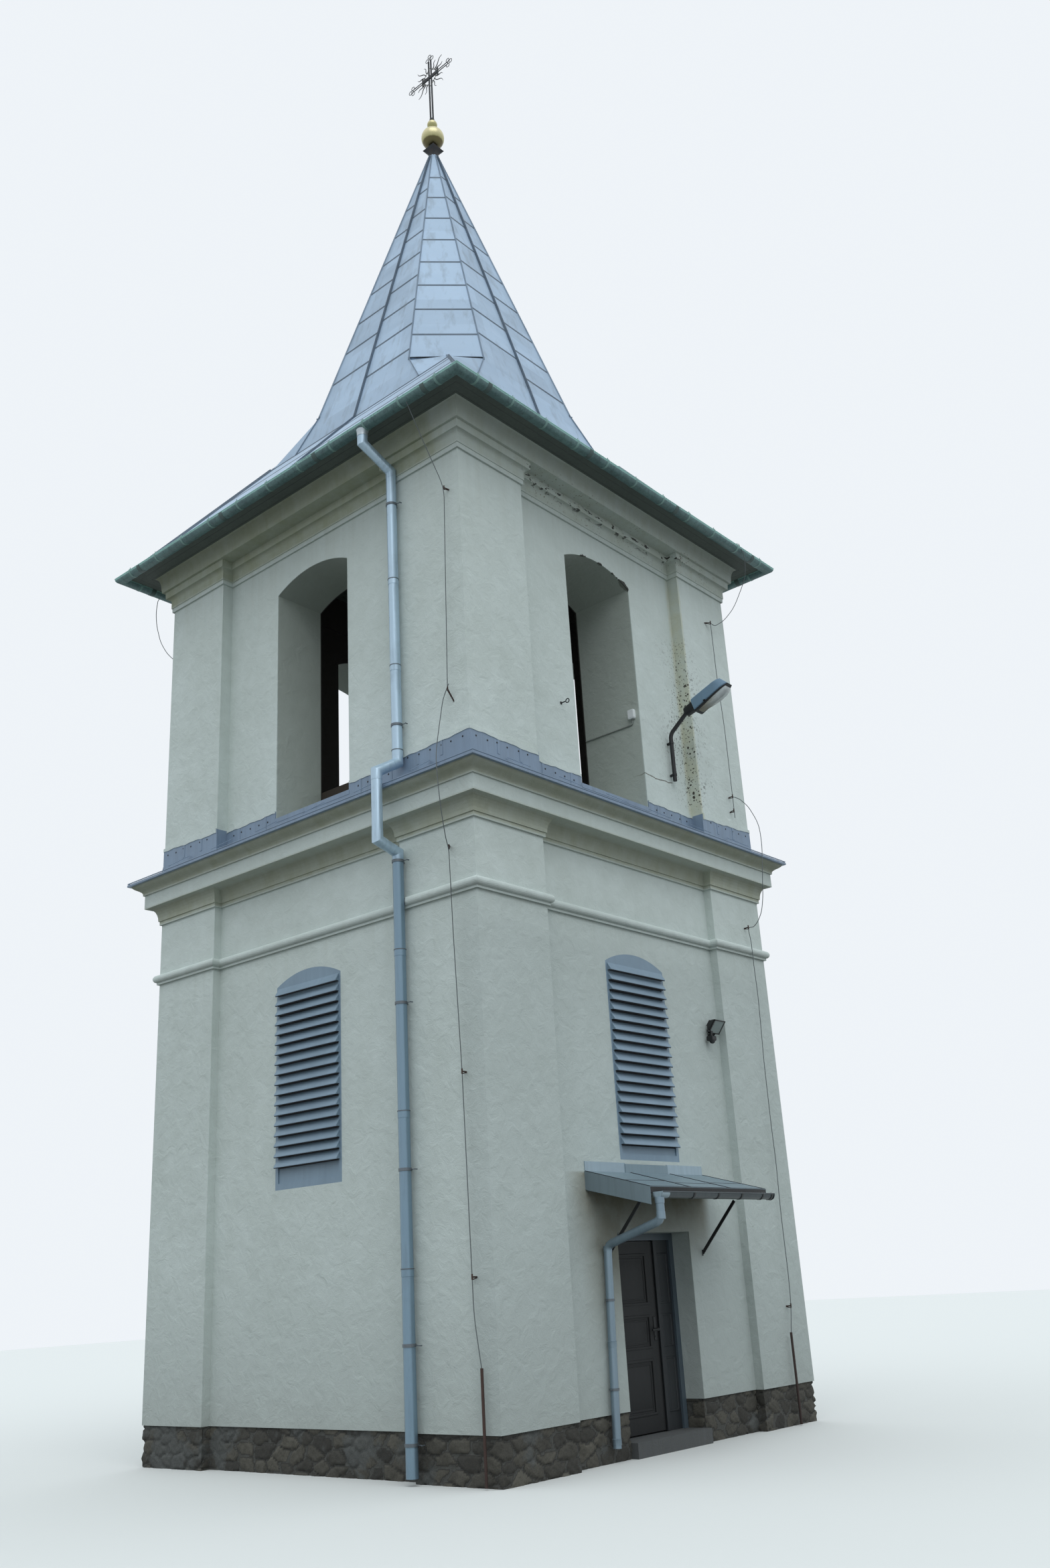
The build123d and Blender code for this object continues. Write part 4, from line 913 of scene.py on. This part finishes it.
def moulding(x1, x2, z1, z2, y, wide, high):
    """Frame of half-round bead laid round a panel on the door's outer side."""
    w = wide / 2
    return swept([(x1, y, z1), (x2, y, z1), (x2, y, z2), (x1, y, z2)],
                 [*(arc(w, 0, 180, 7) * (1, high / w)), (-w, -3), (w, -3)], -Y, True)


def panel(x1, x2, z1, z2, y, slope=16):
    """Raised field of a door panel: a flat between sloping edges."""
    return capped([[(x1 + s, y + back, z1 + s), (x2 - s, y + back, z1 + s), (x2 - s, y + back, z2 - s),
                    (x1 + s, y + back, z2 - s)] for s, back in ((0, 9.0), (slope, 1.0))])


leaf_bits, side_bits = [], []
for z1, z2 in PANELS:
    leaf_bits += [moulding(-480, 90, z1, z2, LEAF_Y, 26, 8), moulding(-440, 50, z1 + 40, z2 - 40, LEAF_Y + 7, 14, 6),
                  panel(-425, 35, z1 + 55, z2 - 55, LEAF_Y)]
    side_bits.append(moulding(312, 470, z1, z2, LEAF_Y, 20, 8))
solid("door_panels", leaf_bits, "door_paint", body="door", smooth=50)
handle = [(168, LEAF_Y - 46, 1104), (150, LEAF_Y - 50, 1104), (72, LEAF_Y - 48, 1100)]
solid("door_lock", [slab(148, 188, LEAF_Y - 6, LEAF_Y - 1, 1000, 1230, 3), tube(rounded(handle, 16), 8),
                    lathe([(11, 0), (10, 40), (12, 46)], 12, (168, LEAF_Y - 4, 1104), -Y),
                    lathe([(10, 0), (10, 4), (6, 6)], 12, (168, LEAF_Y - 5, 1038), -Y)],
      "black_metal", body="door", smooth=40)
solid("side_leaf_panels", side_bits, "side_leaf_paint", smooth=50)

# ---- Louvres: dark strips under and behind the slats as painted shade, folded side cheeks; sheet over each belfry sill ----

shade_strips, cheeks = [], []
for z in np.linspace(SLAT_TOP, SLAT_LOW, SLATS):
    for inset, out, up, wide, high, tilt in ((30, 43, -3, 13, 6, Z), (32, -8, -3, 10, 12, Z),
                                             (30, 18, 2, 44, 3, (0, 0.1, 1))):
        reach = WIN_HALF - inset
        shade_strips.append(bar(at_wall(-reach, out, z + up), at_wall(reach, out, z + up), wide, high, tilt, 1))
    for side in (-1, 1):
        cheeks.append(plate([(0, z + 88), (50, z + 8), (50, z + 1), (0, z + 1)], 3 * side,
                            (side * (WIN_HALF - 31), -LOW_FACE, 0), -Y, Z))
solid("louvre_shade_strips", all_round(*shade_strips), "shade_black")
solid("louvre_cheeks", all_round(*cheeks), "slat_paint")
solid("belfry_sills", all_round(
    slab(-OPEN_HALF - 4, OPEN_HALF + 4, -UP_FACE - 13, -UP_FACE - 1, 6860, SILL_Z + 5, 1.5),
    slab(-OPEN_HALF + 1, OPEN_HALF - 1, -UP_FACE - 12, -UP_FACE + 240, SILL_Z + 1, SILL_Z + 5, 1)), "ledge_sheet")


# ---- Conductor wires: loose curves between the clips, out round the ledge, into guard tubes at the foot ----

def wire(name, curves, hooks, guard, hides=()):
    """Thin round wire along measured curves, the hooks that hold it off the wall, and the guard tube at its foot."""
    held = [mitred([(*guard, 950), (*guard, 14)], 14, 12)]
    for a, b in hooks:
        a, b = np.array(a, float), np.array(b, float)
        held += [tube([a, b], 7, 8), tube([b + 26 * Z, b - 22 * Z], 8, 8), tube([b - 22 * Z, a - 6 * Z], 5, 8)]
    solid(name, [tube(rounded(curve, 130), 4.5, 8) for curve in curves], "conductor_wire", hides=hides, smooth=50)
    solid(name.replace("_wire", "_hooks"), held, "hook_rust", smooth=50)


wire("conductor_left_wire",
     [[(-3226, -2400, 10925), (-2960, -2440, 10390), *[(-WIRE_OUT, y, z) for y, z in (
         (-2483, 9905), (-2450, 8700), (-2417, 7480))]],
      [(-2700, -2425, 7540), (-2735, -2370, 7380), (-2760, -2340, 7141), (-2850, -2376, 6870), (-2988, -2480, 6610),
       (-3002, -2519, 6231), (-2940, -2491, 5998), (-2800, -2400, 5812), *[(-WIRE_OUT, y, z) for y, z in (
           (-2350, 5735), (-2368, 4847), (-2414, 3523), (-2444, 1369))], (-2700, -2500, 940)]],
     [((-HOOK_FOOT, y1, z1), (-WIRE_OUT, y2, z2)) for y1, z1, y2, z2 in (
         (-2500, 9900, -2483, 9905), (-2446, 7344, -2420, 7480), (-2300, 5800, -2352, 5760),
         (-2414, 3523, -2414, 3523), (-2440, 1700, -2440, 1700))],
     (-2700, -2500), ["conductor_left"])
wire("conductor_front_wire",
     [[(2335, -3226, 10945), (2459, -3226, 10809), (2560, -3150, 10605), (2606, -3060, 10480), (2595, -2880, 10181),
       (2443, -2780, 9966), (2298, -2720, 9862), *[(x, -WIRE_OUT, z) for x, z in (
           (2217, 9890), (2219, 9119), (2262, 8341), (2262, 7400), (2262, 7090))]],
      [(2262, -WIRE_OUT, 7380), (2342, -2760, 7357), (2402, -2840, 7247), (2446, -2940, 6992), (2376, -2990, 6675),
       (2305, -2990, 6324), (2290, -2960, 5975), (2318, -2900, 5806), (2335, -2820, 5700), (2316, -2760, 5640),
       (2280, -2716, 5640), *[(x, -WIRE_OUT, z) for x, z in (
           (2268, 5600), (2300, 5460), (2298, 5127), (2312, 4784), (2294, 4421), (2268, 3950), (2263, 3222),
           (2274, 2813), (2248, 2228), (2254, 1540), (2236, 1240), (2170, 945))]]],
     [((x1, -HOOK_FOOT, z1), (x2, -WIRE_OUT, z2)) for x1, z1, x2, z2 in (
         (2160, 9895, 2217, 9890), (2262, 7380, 2262, 7385), (2255, 7180, 2255, 7190), (2272, 5640, 2272, 5640),
         (2230, 1225, 2230, 1225))],
     (2166, -WIRE_OUT), ["conductor_front"])
BACK_X = -2480
wire("conductor_back_wire",
     [[(-2500, 3226, 10890), (-2546, 3220, 10832), (-2615, 3150, 10591), (-2680, 3020, 10311), (-2698, 2880, 9998),
       (-2652, 2780, 9806), (-2560, WIRE_OUT, 9700), *[(BACK_X, y, z) for y, z in (
           (WIRE_OUT, 9640), (WIRE_OUT, 7500), (2800, 7200), (2990, 6700), (2990, 6300), (2800, 5900),
           (WIRE_OUT, 5700), (WIRE_OUT, 940))]]],
     [((BACK_X, HOOK_FOOT, z), (BACK_X, WIRE_OUT, z)) for z in (9600, 7540, 5640, 3600, 1700)], (BACK_X, WIRE_OUT))


# ---- Finial: collar, gilt balls and the forged cross ----

def sphere_profile(r, z, low, n=26):
    """(radius, height) pairs of a ball standing on the flat cut at height low."""
    t = np.linspace(math.asin(max(-0.999, (low - z) / r)), 1.53, n)
    return np.stack([r * np.cos(t), z + r * np.sin(t)], -1)


# collar: rings of (size, height, how square), from round through a square flange and back to round
turn = np.linspace(0, 2 * np.pi, 49)[:-1]
c, s = np.cos(turn), np.sin(turn)
collar = []
for size, z, square in ((58, -58, 0), (62, -10, 0), (68, 26, 0.3), (80, 60, 0.7), (98, 84, 0.95), (116, 100, 1),
                        (119, 106, 1), (116, 111, 1), (96, 120, 0.95), (76, 138, 0.7), (62, 160, 0.2), (58, 186, 0),
                        (58, 214, 0)):
    reach = size / np.maximum(np.abs(c), np.abs(s)) ** square
    collar.append(np.stack([reach * c, reach * s, 0 * c + SPIRE_TOP + z], -1))
solid("finial_collar_turned", capped(collar), "iron", hides=["finial_collar"], smooth=35)
solid("finial_balls", [lathe(sphere_profile(182, BALL_Z - 8, SPIRE_TOP + 194), 48),
                       lathe(sphere_profile(81, KNOB_Z, KNOB_Z - 79), 32),
                       lathe([(60, 156), (44, 176), (38, 196), (44, KNOB_Z - 66 - BALL_Z)], 24, (0, 0, BALL_Z))],
      "gilt", hides=["finial_ball"], smooth=40)


def in_plane(y, z):
    """Points of the cross's own plane, from its middle, as points of the part."""
    y, z = np.broadcast_arrays(np.asarray(y, float), z)
    return np.stack([0 * y, y, CROSS_Z + z], -1)


def scroll(y, z, facing, r=34, thick=5):
    """Open loop of round bar, its gap turned towards the arm and its ends curling in."""
    t = np.radians(facing + np.linspace(-205, 205, 27))
    shrink = 1 - 0.28 * np.abs(np.linspace(-1, 1, 27)) ** 5
    return tube(in_plane(y + r * shrink * np.cos(t), z + r * shrink * np.sin(t)), thick, 7)


cross = [lathe([(30, 66), (40, 74), (42, 96), (38, 122), (30, 130)], 20, (0, 0, KNOB_Z)),
         bar(in_plane(-170, 0), in_plane(170, 0), 24, 60, Z, 3)]
for s in (-1, 1):
    cross += [bar((0, s * 27, KNOB_Z + 100), in_plane(s * 24.3, 352), 20, 22, Y, 1.5),
              bar(in_plane(-372, s * 21.6), in_plane(372, s * 21.6), 12, 10, Z, 1.5),
              bar(in_plane(s * 170, -76), in_plane(s * 170, 76), 18, 22, Y, 2)]
for y, z, facing in ((395, 0, 0), (-395, 0, 180), (0, 382, 90)):
    c, s = math.cos(math.radians(facing)), math.sin(math.radians(facing))
    cross += [scroll(y + along * c - aside * s, z + along * s + aside * c, facing + face)
              for along, aside, face in ((60, 0, 0), (2, 52, 100), (2, -52, -100))]
    cross.append(lathe([(4, -8), (8, -6), (10, 0), (8, 6), (4, 8)], 14, in_plane(y, z), X))
solid("cross_bars", cross, "iron", hides=["roof_cross"], smooth=40)


def ray(angle, length, bend):
    """Wavy tapering ray from the ring: straight out along its angle, swaying once across it."""
    t = np.linspace(0, 1, 15)
    a = math.radians(angle)
    along, aside = 128 + length * t, bend * np.sin(2 * np.pi * t) * (0.4 + 0.6 * t)
    return tube(in_plane(along * math.cos(a) - aside * math.sin(a), along * math.sin(a) + aside * math.cos(a)),
                8.0 - 4.5 * t ** 2, 7)


solid("cross_rays", [ray(corner + turned, length, bend) for corner in (45, 135, 225, 315)
                     for turned, length, bend in ((0, 262, 24), (20, 178, -22), (-20, 178, 22))], "iron", smooth=50)
ring_y = np.array([-10, -186, -186, -10, 10, 186, 186, 10])
ring_z = np.array([186, 10, -10, -186, -186, -10, 10, 186])
solid("cross_ring", swept(in_plane(ring_y, ring_z), box_profile(9, 9, 1.5), X, True), "pale_iron")


# ---- Street lamp on its bent tube ----

def loft(rows, power, sides=28, lower_only=False):
    """Rounded boxes one behind the other: each row is (y, z, half width, half height, lean), a flattened
    oval whose sides run to the given power of the circle's."""
    t = np.linspace(np.pi, 2 * np.pi, sides) if lower_only else np.linspace(0, 2 * np.pi, sides, endpoint=False)
    a, b = (np.sign(v)[:, None] * np.abs(v)[:, None] ** power for v in (np.cos(t), np.sin(t)))
    return capped([np.array((LAMP_X, y, z)) + w * a * X + h * b * (math.sin(lean) * Y + math.cos(lean) * Z)
                   for y, z, w, h, lean in rows])


def leaning(*rows, lean=math.radians(20)):
    """Rows for loft() given from the lamp's bend: (out, up, half width, half height)."""
    return [(LAMP_Y - out, LAMP_BEND + up, w, h, lean) for out, up, w, h in rows]


def box_loft(rows, soft, low_part, high_part, wider=0):
    """Box between pairs of (low, high) points in y and z, each pair one rounded upright section, of which it
    fills the given part."""
    rings = []
    for low, high, w in rows:
        low, high = low + (high - low) * low_part, low + (high - low) * high_part
        deep = np.linalg.norm(high - low)
        profile = np.array(box_profile(2 * (w + wider), deep, soft))
        rings.append(X * LAMP_X + (low + high) / 2 + profile[:, :1] * X + profile[:, 1:] * (high - low) / deep)
    return capped(rings)


lamp_run = [(LAMP_X, LAMP_Y, LAMP_LOW), (LAMP_X, LAMP_Y, LAMP_BEND), (LAMP_X, LAMP_Y - 320, LAMP_BEND + 250)]
stem = [tube(rounded(lamp_run, 60, 6), 26, 20), lathe([(24, 0), (24, 6)], 20, (LAMP_X, LAMP_Y, LAMP_LOW - 4)),
        loft(leaning((262, 212, 44, 44), (276, 220, 52, 56), (420, 268, 54, 66), (440, 276, 48, 60)), 0.5)]
for z in (LAMP_LOW + 80, LAMP_BEND - 120):
    stem += [lathe([(26, -15), (31, -14), (31, 14), (26, 15)], 20, (LAMP_X, LAMP_Y, z)),
             bar((LAMP_X, LAMP_Y + 20, z), (LAMP_X, -UP_FACE - 2, z), 34, 26),
             bar((LAMP_X - 36, LAMP_Y, z), (LAMP_X + 36, LAMP_Y, z), 24, 8, Y)]
solid("lamp_stem", stem, "black_metal", hides=["street_lamp"], smooth=35)
neck_low, neck_high = np.array([0, -2999.0, 8152.0]), np.array([0, -2942.0, 8339.0])
far_low, far_high = np.array([0, -3503.0, 8374.0]), np.array([0, -3371.0, 8498.0])
sections = []
for t, w, shrink in ((0.0, 70, 8), (0.03, 77, 0), (0.5, 78, 0), (0.80, 77, 0), (0.92, 64, 0), (1.0, 42, 5)):
    low, high = neck_low + (far_low - neck_low) * t, neck_high + (far_high - neck_high) * t
    sections.append((low + unit(high - low) * shrink, high - unit(high - low) * shrink, w))
LID_FROM = 0.14                        # the lid starts above the rim, at this part of the head's depth
solid("lamp_housing", box_loft(sections, 14, LID_FROM, 1), "lamp_paint", smooth=30)
solid("lamp_rim", box_loft(sections, 5, 0, LID_FROM, 2), "black_metal", smooth=30)
catch = bar((LAMP_X - 84, -3150, 8258), (LAMP_X - 76, -3150, 8258), 30, 20, Z, 2)
solid("lamp_catch", catch, "black_metal")
bowl = [(neck_low[1] - 0.915 * along, neck_low[2] + 0.403 * along, 44 + 26 * math.sqrt(deep / 70), deep,
         math.radians(23.8)) for along, deep in ((46, 6), (70, 12), (120, 22), (190, 42), (270, 60), (350, 70),
                                                (420, 68), (465, 54), (495, 34), (508, 12))]
solid("lamp_bowl", loft(bowl, 0.75, 26, True), "lamp_glass", smooth=60)
bulb = leaning((520, 190, 12, 12), (560, 200, 22, 22), (640, 228, 34, 34), (720, 258, 34, 34), (770, 276, 14, 14))
solid("lamp_bulb", loft(bulb, 1.0), "box_plastic", smooth=60)

# ---- Floodlight, cable box with its conduit, eye hook ----

flood_up = np.array([0, math.sin(FLOOD_LEAN), math.cos(FLOOD_LEAN)])
flood_out = np.array([0, -math.cos(FLOOD_LEAN), math.sin(FLOOD_LEAN)])
mid = at_wall(FLOOD_X + 104, 106, FLOOD_Z + 112)
body = []
for back, h, w in ((82, 34, 66), (74, 44, 82), (30, 76, 102), (8, 88, 110), (2, 88, 110)):
    profile = np.array(box_profile(2 * w, 2 * h, 8))
    body.append(mid - flood_out * back + profile[:, :1] * X + profile[:, 1:] * flood_up)
flood = [capped(body)]
for x in range(-70, 71, 20):
    flood.append(bar(mid + X * x - flood_out * 92, mid + X * x - flood_out * 40, 4, 76, flood_up, 0.5))
for sx, sz, w, h in ((0, 82, 220, 14), (0, -82, 220, 14), (-103, 0, 14, 176), (103, 0, 14, 176)):
    at = mid + X * sx + flood_up * sz
    flood.append(bar(at - X * w / 2, at + X * w / 2, h, 14, flood_out, 2))
# wall plate, two arms, sensor with its post and head; then the sensor's eye
for x1, out1, up1, x2, out2, up2, wide, high, up, soft in (
        (100, 2, 0, 100, 10, 0, 76, 76, Z, 4), (86, 8, 10, 86, 60, 52, 10, 30, Z, 2),
        (118, 8, 10, 118, 60, 52, 10, 30, Z, 2), (-22, 71, -24, 62, 71, -24, 82, 56, Z, 10),
        (20, 70, -8, 20, 70, 64, 26, 26, Y, 3), (-36, 64, 62, 60, 64, 62, 20, 20, Z, 3)):
    flood.append(bar(at_wall(FLOOD_X + x1, out1, FLOOD_Z + up1), at_wall(FLOOD_X + x2, out2, FLOOD_Z + up2),
                     wide, high, up, soft))
flood.append(lathe([(30, 6), (34, 0), (32, -14), (24, -26), (10, -33)], 20,
                   at_wall(FLOOD_X + 22, 78, FLOOD_Z - 50)))
solid("floodlight_body", flood, "black_metal", hides=["floodlight"], smooth=30)
glass = bar(mid + flood_out - X * 96, mid + flood_out + X * 96, 150, 4, flood_out, 0.5)
solid("floodlight_glass", glass, "flood_glass")

plastic = [slab(597, 643, -2435, -2347, BOX_Z + 10, BOX_Z + 121, 5),
           slab(594, 598, -2431, -2351, BOX_Z + 14, BOX_Z + 117, 1),
           slab(596, 642, -2432, -2350, BOX_Z + 1, BOX_Z + 9, 2)]
plastic += [lathe([(5, 0), (4.5, 2), (2, 3)], 8, (595, y, BOX_Z + up), -X)
            for y in (-2424, -2358) for up in (20, 111)]
solid("cable_box", plastic, "box_plastic", hides=["junction_box"], smooth=30)
conduit_z = BOX_Z - 69
conduit = [tube(rounded([(634, -2387, BOX_Z + 4), (634, -2387, conduit_z), (634, -1642, conduit_z)], 40, 6), 8.5),
           lathe([(14, -6), (14, 4), (10, 8)], 12, (634, -2387, BOX_Z - 4))]
conduit += [bar((634, y, conduit_z - 10), (634, y, conduit_z + 11), 12, 14, Y, 1) for y in (-2250, -2000, -1760)]
solid("cable_conduit", conduit, "conduit_grey", smooth=40)
loop = (EYE_X, -2590, EYE_Z) + across(arc(24, -150, 180, 22))
solid("eye_hook", [tube([(EYE_X, -2490, EYE_Z), (EYE_X, -2566, EYE_Z)], 7), tube(loop, 6, 8),
                   lathe([(20, 0), (20, 3), (12, 6)], 12, (EYE_X, -2495, EYE_Z), -Y)], "black_metal", smooth=50)

# ---- Plinth of field stones ----

STONE_W, STONE_H = 250.0, 125.0


def smooth_step(v, low, high):
    """0 below low, 1 above high, and three t squared less two t cubed between, t being the share of the way."""
    t = np.clip((v - low) / (high - low), 0, 1)
    return t * t * (3 - 2 * t)


def rubble(path, seed, depth=150.0):
    """Wall foot of rounded field stones: along the path and up, every point is pushed out by how far it lies
    inside its stone, measured as the gap between its nearest and second nearest stone centres."""
    path = np.asarray(path, float)
    rng = np.random.default_rng(seed)
    legs = np.diff(path, axis=0)
    lengths = np.linalg.norm(legs, axis=1)
    stations, sides, dist = [], [], []
    along = np.concatenate([[0], np.cumsum(lengths)])
    out = np.stack([legs[:, 1], -legs[:, 0]], -1) / lengths[:, None]
    for i, length in enumerate(lengths):
        t = np.linspace(0, 1, max(2, int(length / 17)), endpoint=i == len(lengths) - 1)
        stations.append(path[i] + t[:, None] * legs[i])
        side = np.repeat(out[i][None], len(t), 0)
        if i:
            mitre = unit(out[i - 1] + out[i])
            side[0] = mitre / max(0.3, mitre @ out[i])
        sides.append(side)
        dist.append(along[i] + t * length)
    stations, sides, dist = np.concatenate(stations), np.concatenate(sides), np.concatenate(dist)
    v = np.linspace(0, PLINTH_TOP, 25)
    du, dv = np.meshgrid(dist, v, indexing="ij")
    # stone centres in staggered rows, each stone with its tone, bulge and size
    wu = du + 22 * np.sin(dv / 47 + du / 310) + 9 * np.sin(du / 37 + dv / 23)
    wv = dv + 14 * np.sin(du / 83) + 6 * np.sin(du / 29 + dv / 31)
    cols, rows = int(dist[-1] / STONE_W) + 3, int(PLINTH_TOP / STONE_H) + 3
    cu, cv = np.meshgrid(np.arange(cols) - 1.0, np.arange(rows) - 1.0, indexing="ij")
    cu = (cu + 0.5 * (cv % 2) + rng.uniform(-0.34, 0.34, cu.shape)) * STONE_W
    cv = (cv + 0.5 + rng.uniform(-0.3, 0.3, cv.shape)) * STONE_H
    tone, bulge, grow = (rng.uniform(low, high, cu.size) for low, high in ((0.12, 1.0), (0.5, 1.0), (0.85, 1.15)))
    gap = np.hypot((wu.ravel()[:, None] - cu.ravel()) / (STONE_W / STONE_H), wv.ravel()[:, None] - cv.ravel()) / grow
    order = np.argsort(gap, axis=1)[:, :2]
    near = np.take_along_axis(gap, order, 1)
    inside = smooth_step(near[:, 1] - near[:, 0], 5, 34).reshape(du.shape)
    bulge, tone = (each[order[:, 0]].reshape(du.shape) for each in (bulge, tone))
    # chipped faces, and mortar smeared over some of the stones
    rough = 1.9 * (np.sin(du / 13.1 + dv / 9.7) + np.sin(du / 7.3 - dv / 11.9)
                   + np.sin(du / 21.0) * np.sin(dv / 17.0))
    smear = smooth_step(np.sin(du / 410 + dv / 160) + np.sin(du / 173 - dv / 90) + np.sin(du / 97 + 1), 0.3, 1.6)
    push = inside * (5 + 13 * bulge) * (1 - 0.65 * smear) - 14 + 6 * smear + rough
    push *= smooth_step(PLINTH_TOP - dv, -6, 14) * 0.8 + 0.2
    stone = np.where(inside > 0.22 + 0.6 * smear, tone, 0.0)
    face = np.concatenate([stations[:, None] + push[..., None] * sides[:, None],
                           np.broadcast_to(v[None, :, None], (len(dist), len(v), 1))], -1)
    back = (stations - sides * depth)[:, None]
    inner = [np.concatenate([back, np.full((len(back), 1, 1), z)], -1) for z in (PLINTH_TOP, 0.0)]
    return capped(np.concatenate([face, *inner], 1)), np.concatenate([stone, np.zeros((len(back), 2))], 1).ravel()


PLINTH_HALF, PLINTH_IN, JAMB_Y = 2638, 2537, -2240      # faces at the piers and between them; end in the doorway
pier_path = [(-PIER_IN, 2400), (-PIER_IN, PLINTH_HALF), (-PLINTH_HALF, PLINTH_HALF), (-PLINTH_HALF, PIER_IN),
             (-PLINTH_IN, PIER_IN)]
left_path = pier_path + [(x, -y) for x, y in pier_path[::-1]]
for side, path, seed in (
        ("left", left_path, 3), ("right", [(-x, y) for x, y in left_path[::-1]], 4),
        ("back", [(PIER_IN, PLINTH_IN), (-PIER_IN, PLINTH_IN)], 5),
        ("front_left", [(-PIER_IN, -PLINTH_IN), (DOOR_LEFT - 4, -PLINTH_IN), (DOOR_LEFT - 4, JAMB_Y)], 6),
        ("front_right", [(DOOR_RIGHT + 4, JAMB_Y), (DOOR_RIGHT + 4, -PLINTH_IN), (PIER_IN, -PLINTH_IN)], 7)):
    shape, tones = rubble(path, seed)
    piece = solid("plinth_stones_" + side, shape, "rubble_stone", hides=["plinth_" + side], smooth=60)
    layer = piece.data.attributes.new("stone", "FLOAT", "POINT")
    layer.data.foreach_set("value", tones.astype(np.float32))


# ---- Stage, light and camera ----

def floor_paint():
    """Pale where it is seen; gives back little light."""
    p = Paint("floor_paint")
    return p.finish(p.mix((84, 84, 80), (206, 207, 204), p.seen_rays()), 0.95)


def paint_sky(world):
    """Even and pale where it is seen; the light that it gives grows from the horizon to overhead."""
    p = Paint("", world, "Generated")
    z = p.axes()[2]
    shown = p.node("Background", {"Color": (0.86, 0.90, 0.94, 1), "Strength": 1.0})
    lit = p.node("Background", {"Color": (0.88, 0.96, 1.02, 1), "Strength": z.step(0.0, 1.0) * 0.93 + 0.62})
    p.end(p.node("MixShader", {0: p.seen_rays(), 1: lit, 2: shown}), "World")


FLOOR_REACH, FLOOR_DEEP = 60000, 20
corners = [(x, y) for x, y, z in ring_path(FLOOR_REACH, 0)]
studio_floor = meshed("studio_floor", plate(corners, FLOOR_DEEP, (0, 0, -FLOOR_DEEP), X, Y), floor_paint())
bpy.context.scene.world = bpy.data.worlds.new("soft_sky")
paint_sky(bpy.context.scene.world)

sun = bpy.data.lights.new("soft_key", "SUN")
sun.energy, sun.angle, sun.color = 0.75, math.radians(50), (0.96, 0.99, 1.0)
key = bpy.data.objects.new("soft_key", sun)
key.rotation_euler = (math.radians(38), 0, math.radians(-38))
bpy.context.scene.collection.objects.link(key)

CAMERA_AT = -11.985, -11.187, 1.590
YAW, PITCH, ROLL = (math.radians(v) for v in (40.0321861, 20.5607095, -3.4131217))
ahead = Vector((math.cos(PITCH) * math.cos(YAW), math.cos(PITCH) * math.sin(YAW), math.sin(PITCH)))
level = Vector((math.sin(YAW), -math.cos(YAW), 0))
upright = level.cross(ahead)
right = math.cos(ROLL) * level + math.sin(ROLL) * upright
above = math.cos(ROLL) * upright - math.sin(ROLL) * level
lens = bpy.data.cameras.new("view_camera")
lens.lens, lens.sensor_width, lens.sensor_fit, lens.clip_end = 45.914, 36, "HORIZONTAL", 400
camera = bpy.data.objects.new("view_camera", lens)
camera.matrix_world = Matrix([(*row,) for row in zip(right, above, -ahead, CAMERA_AT)] + [(0, 0, 0, 1)])
bpy.context.scene.collection.objects.link(camera)
bpy.context.scene.camera = camera
bpy.context.scene.view_settings.view_transform = "Standard"
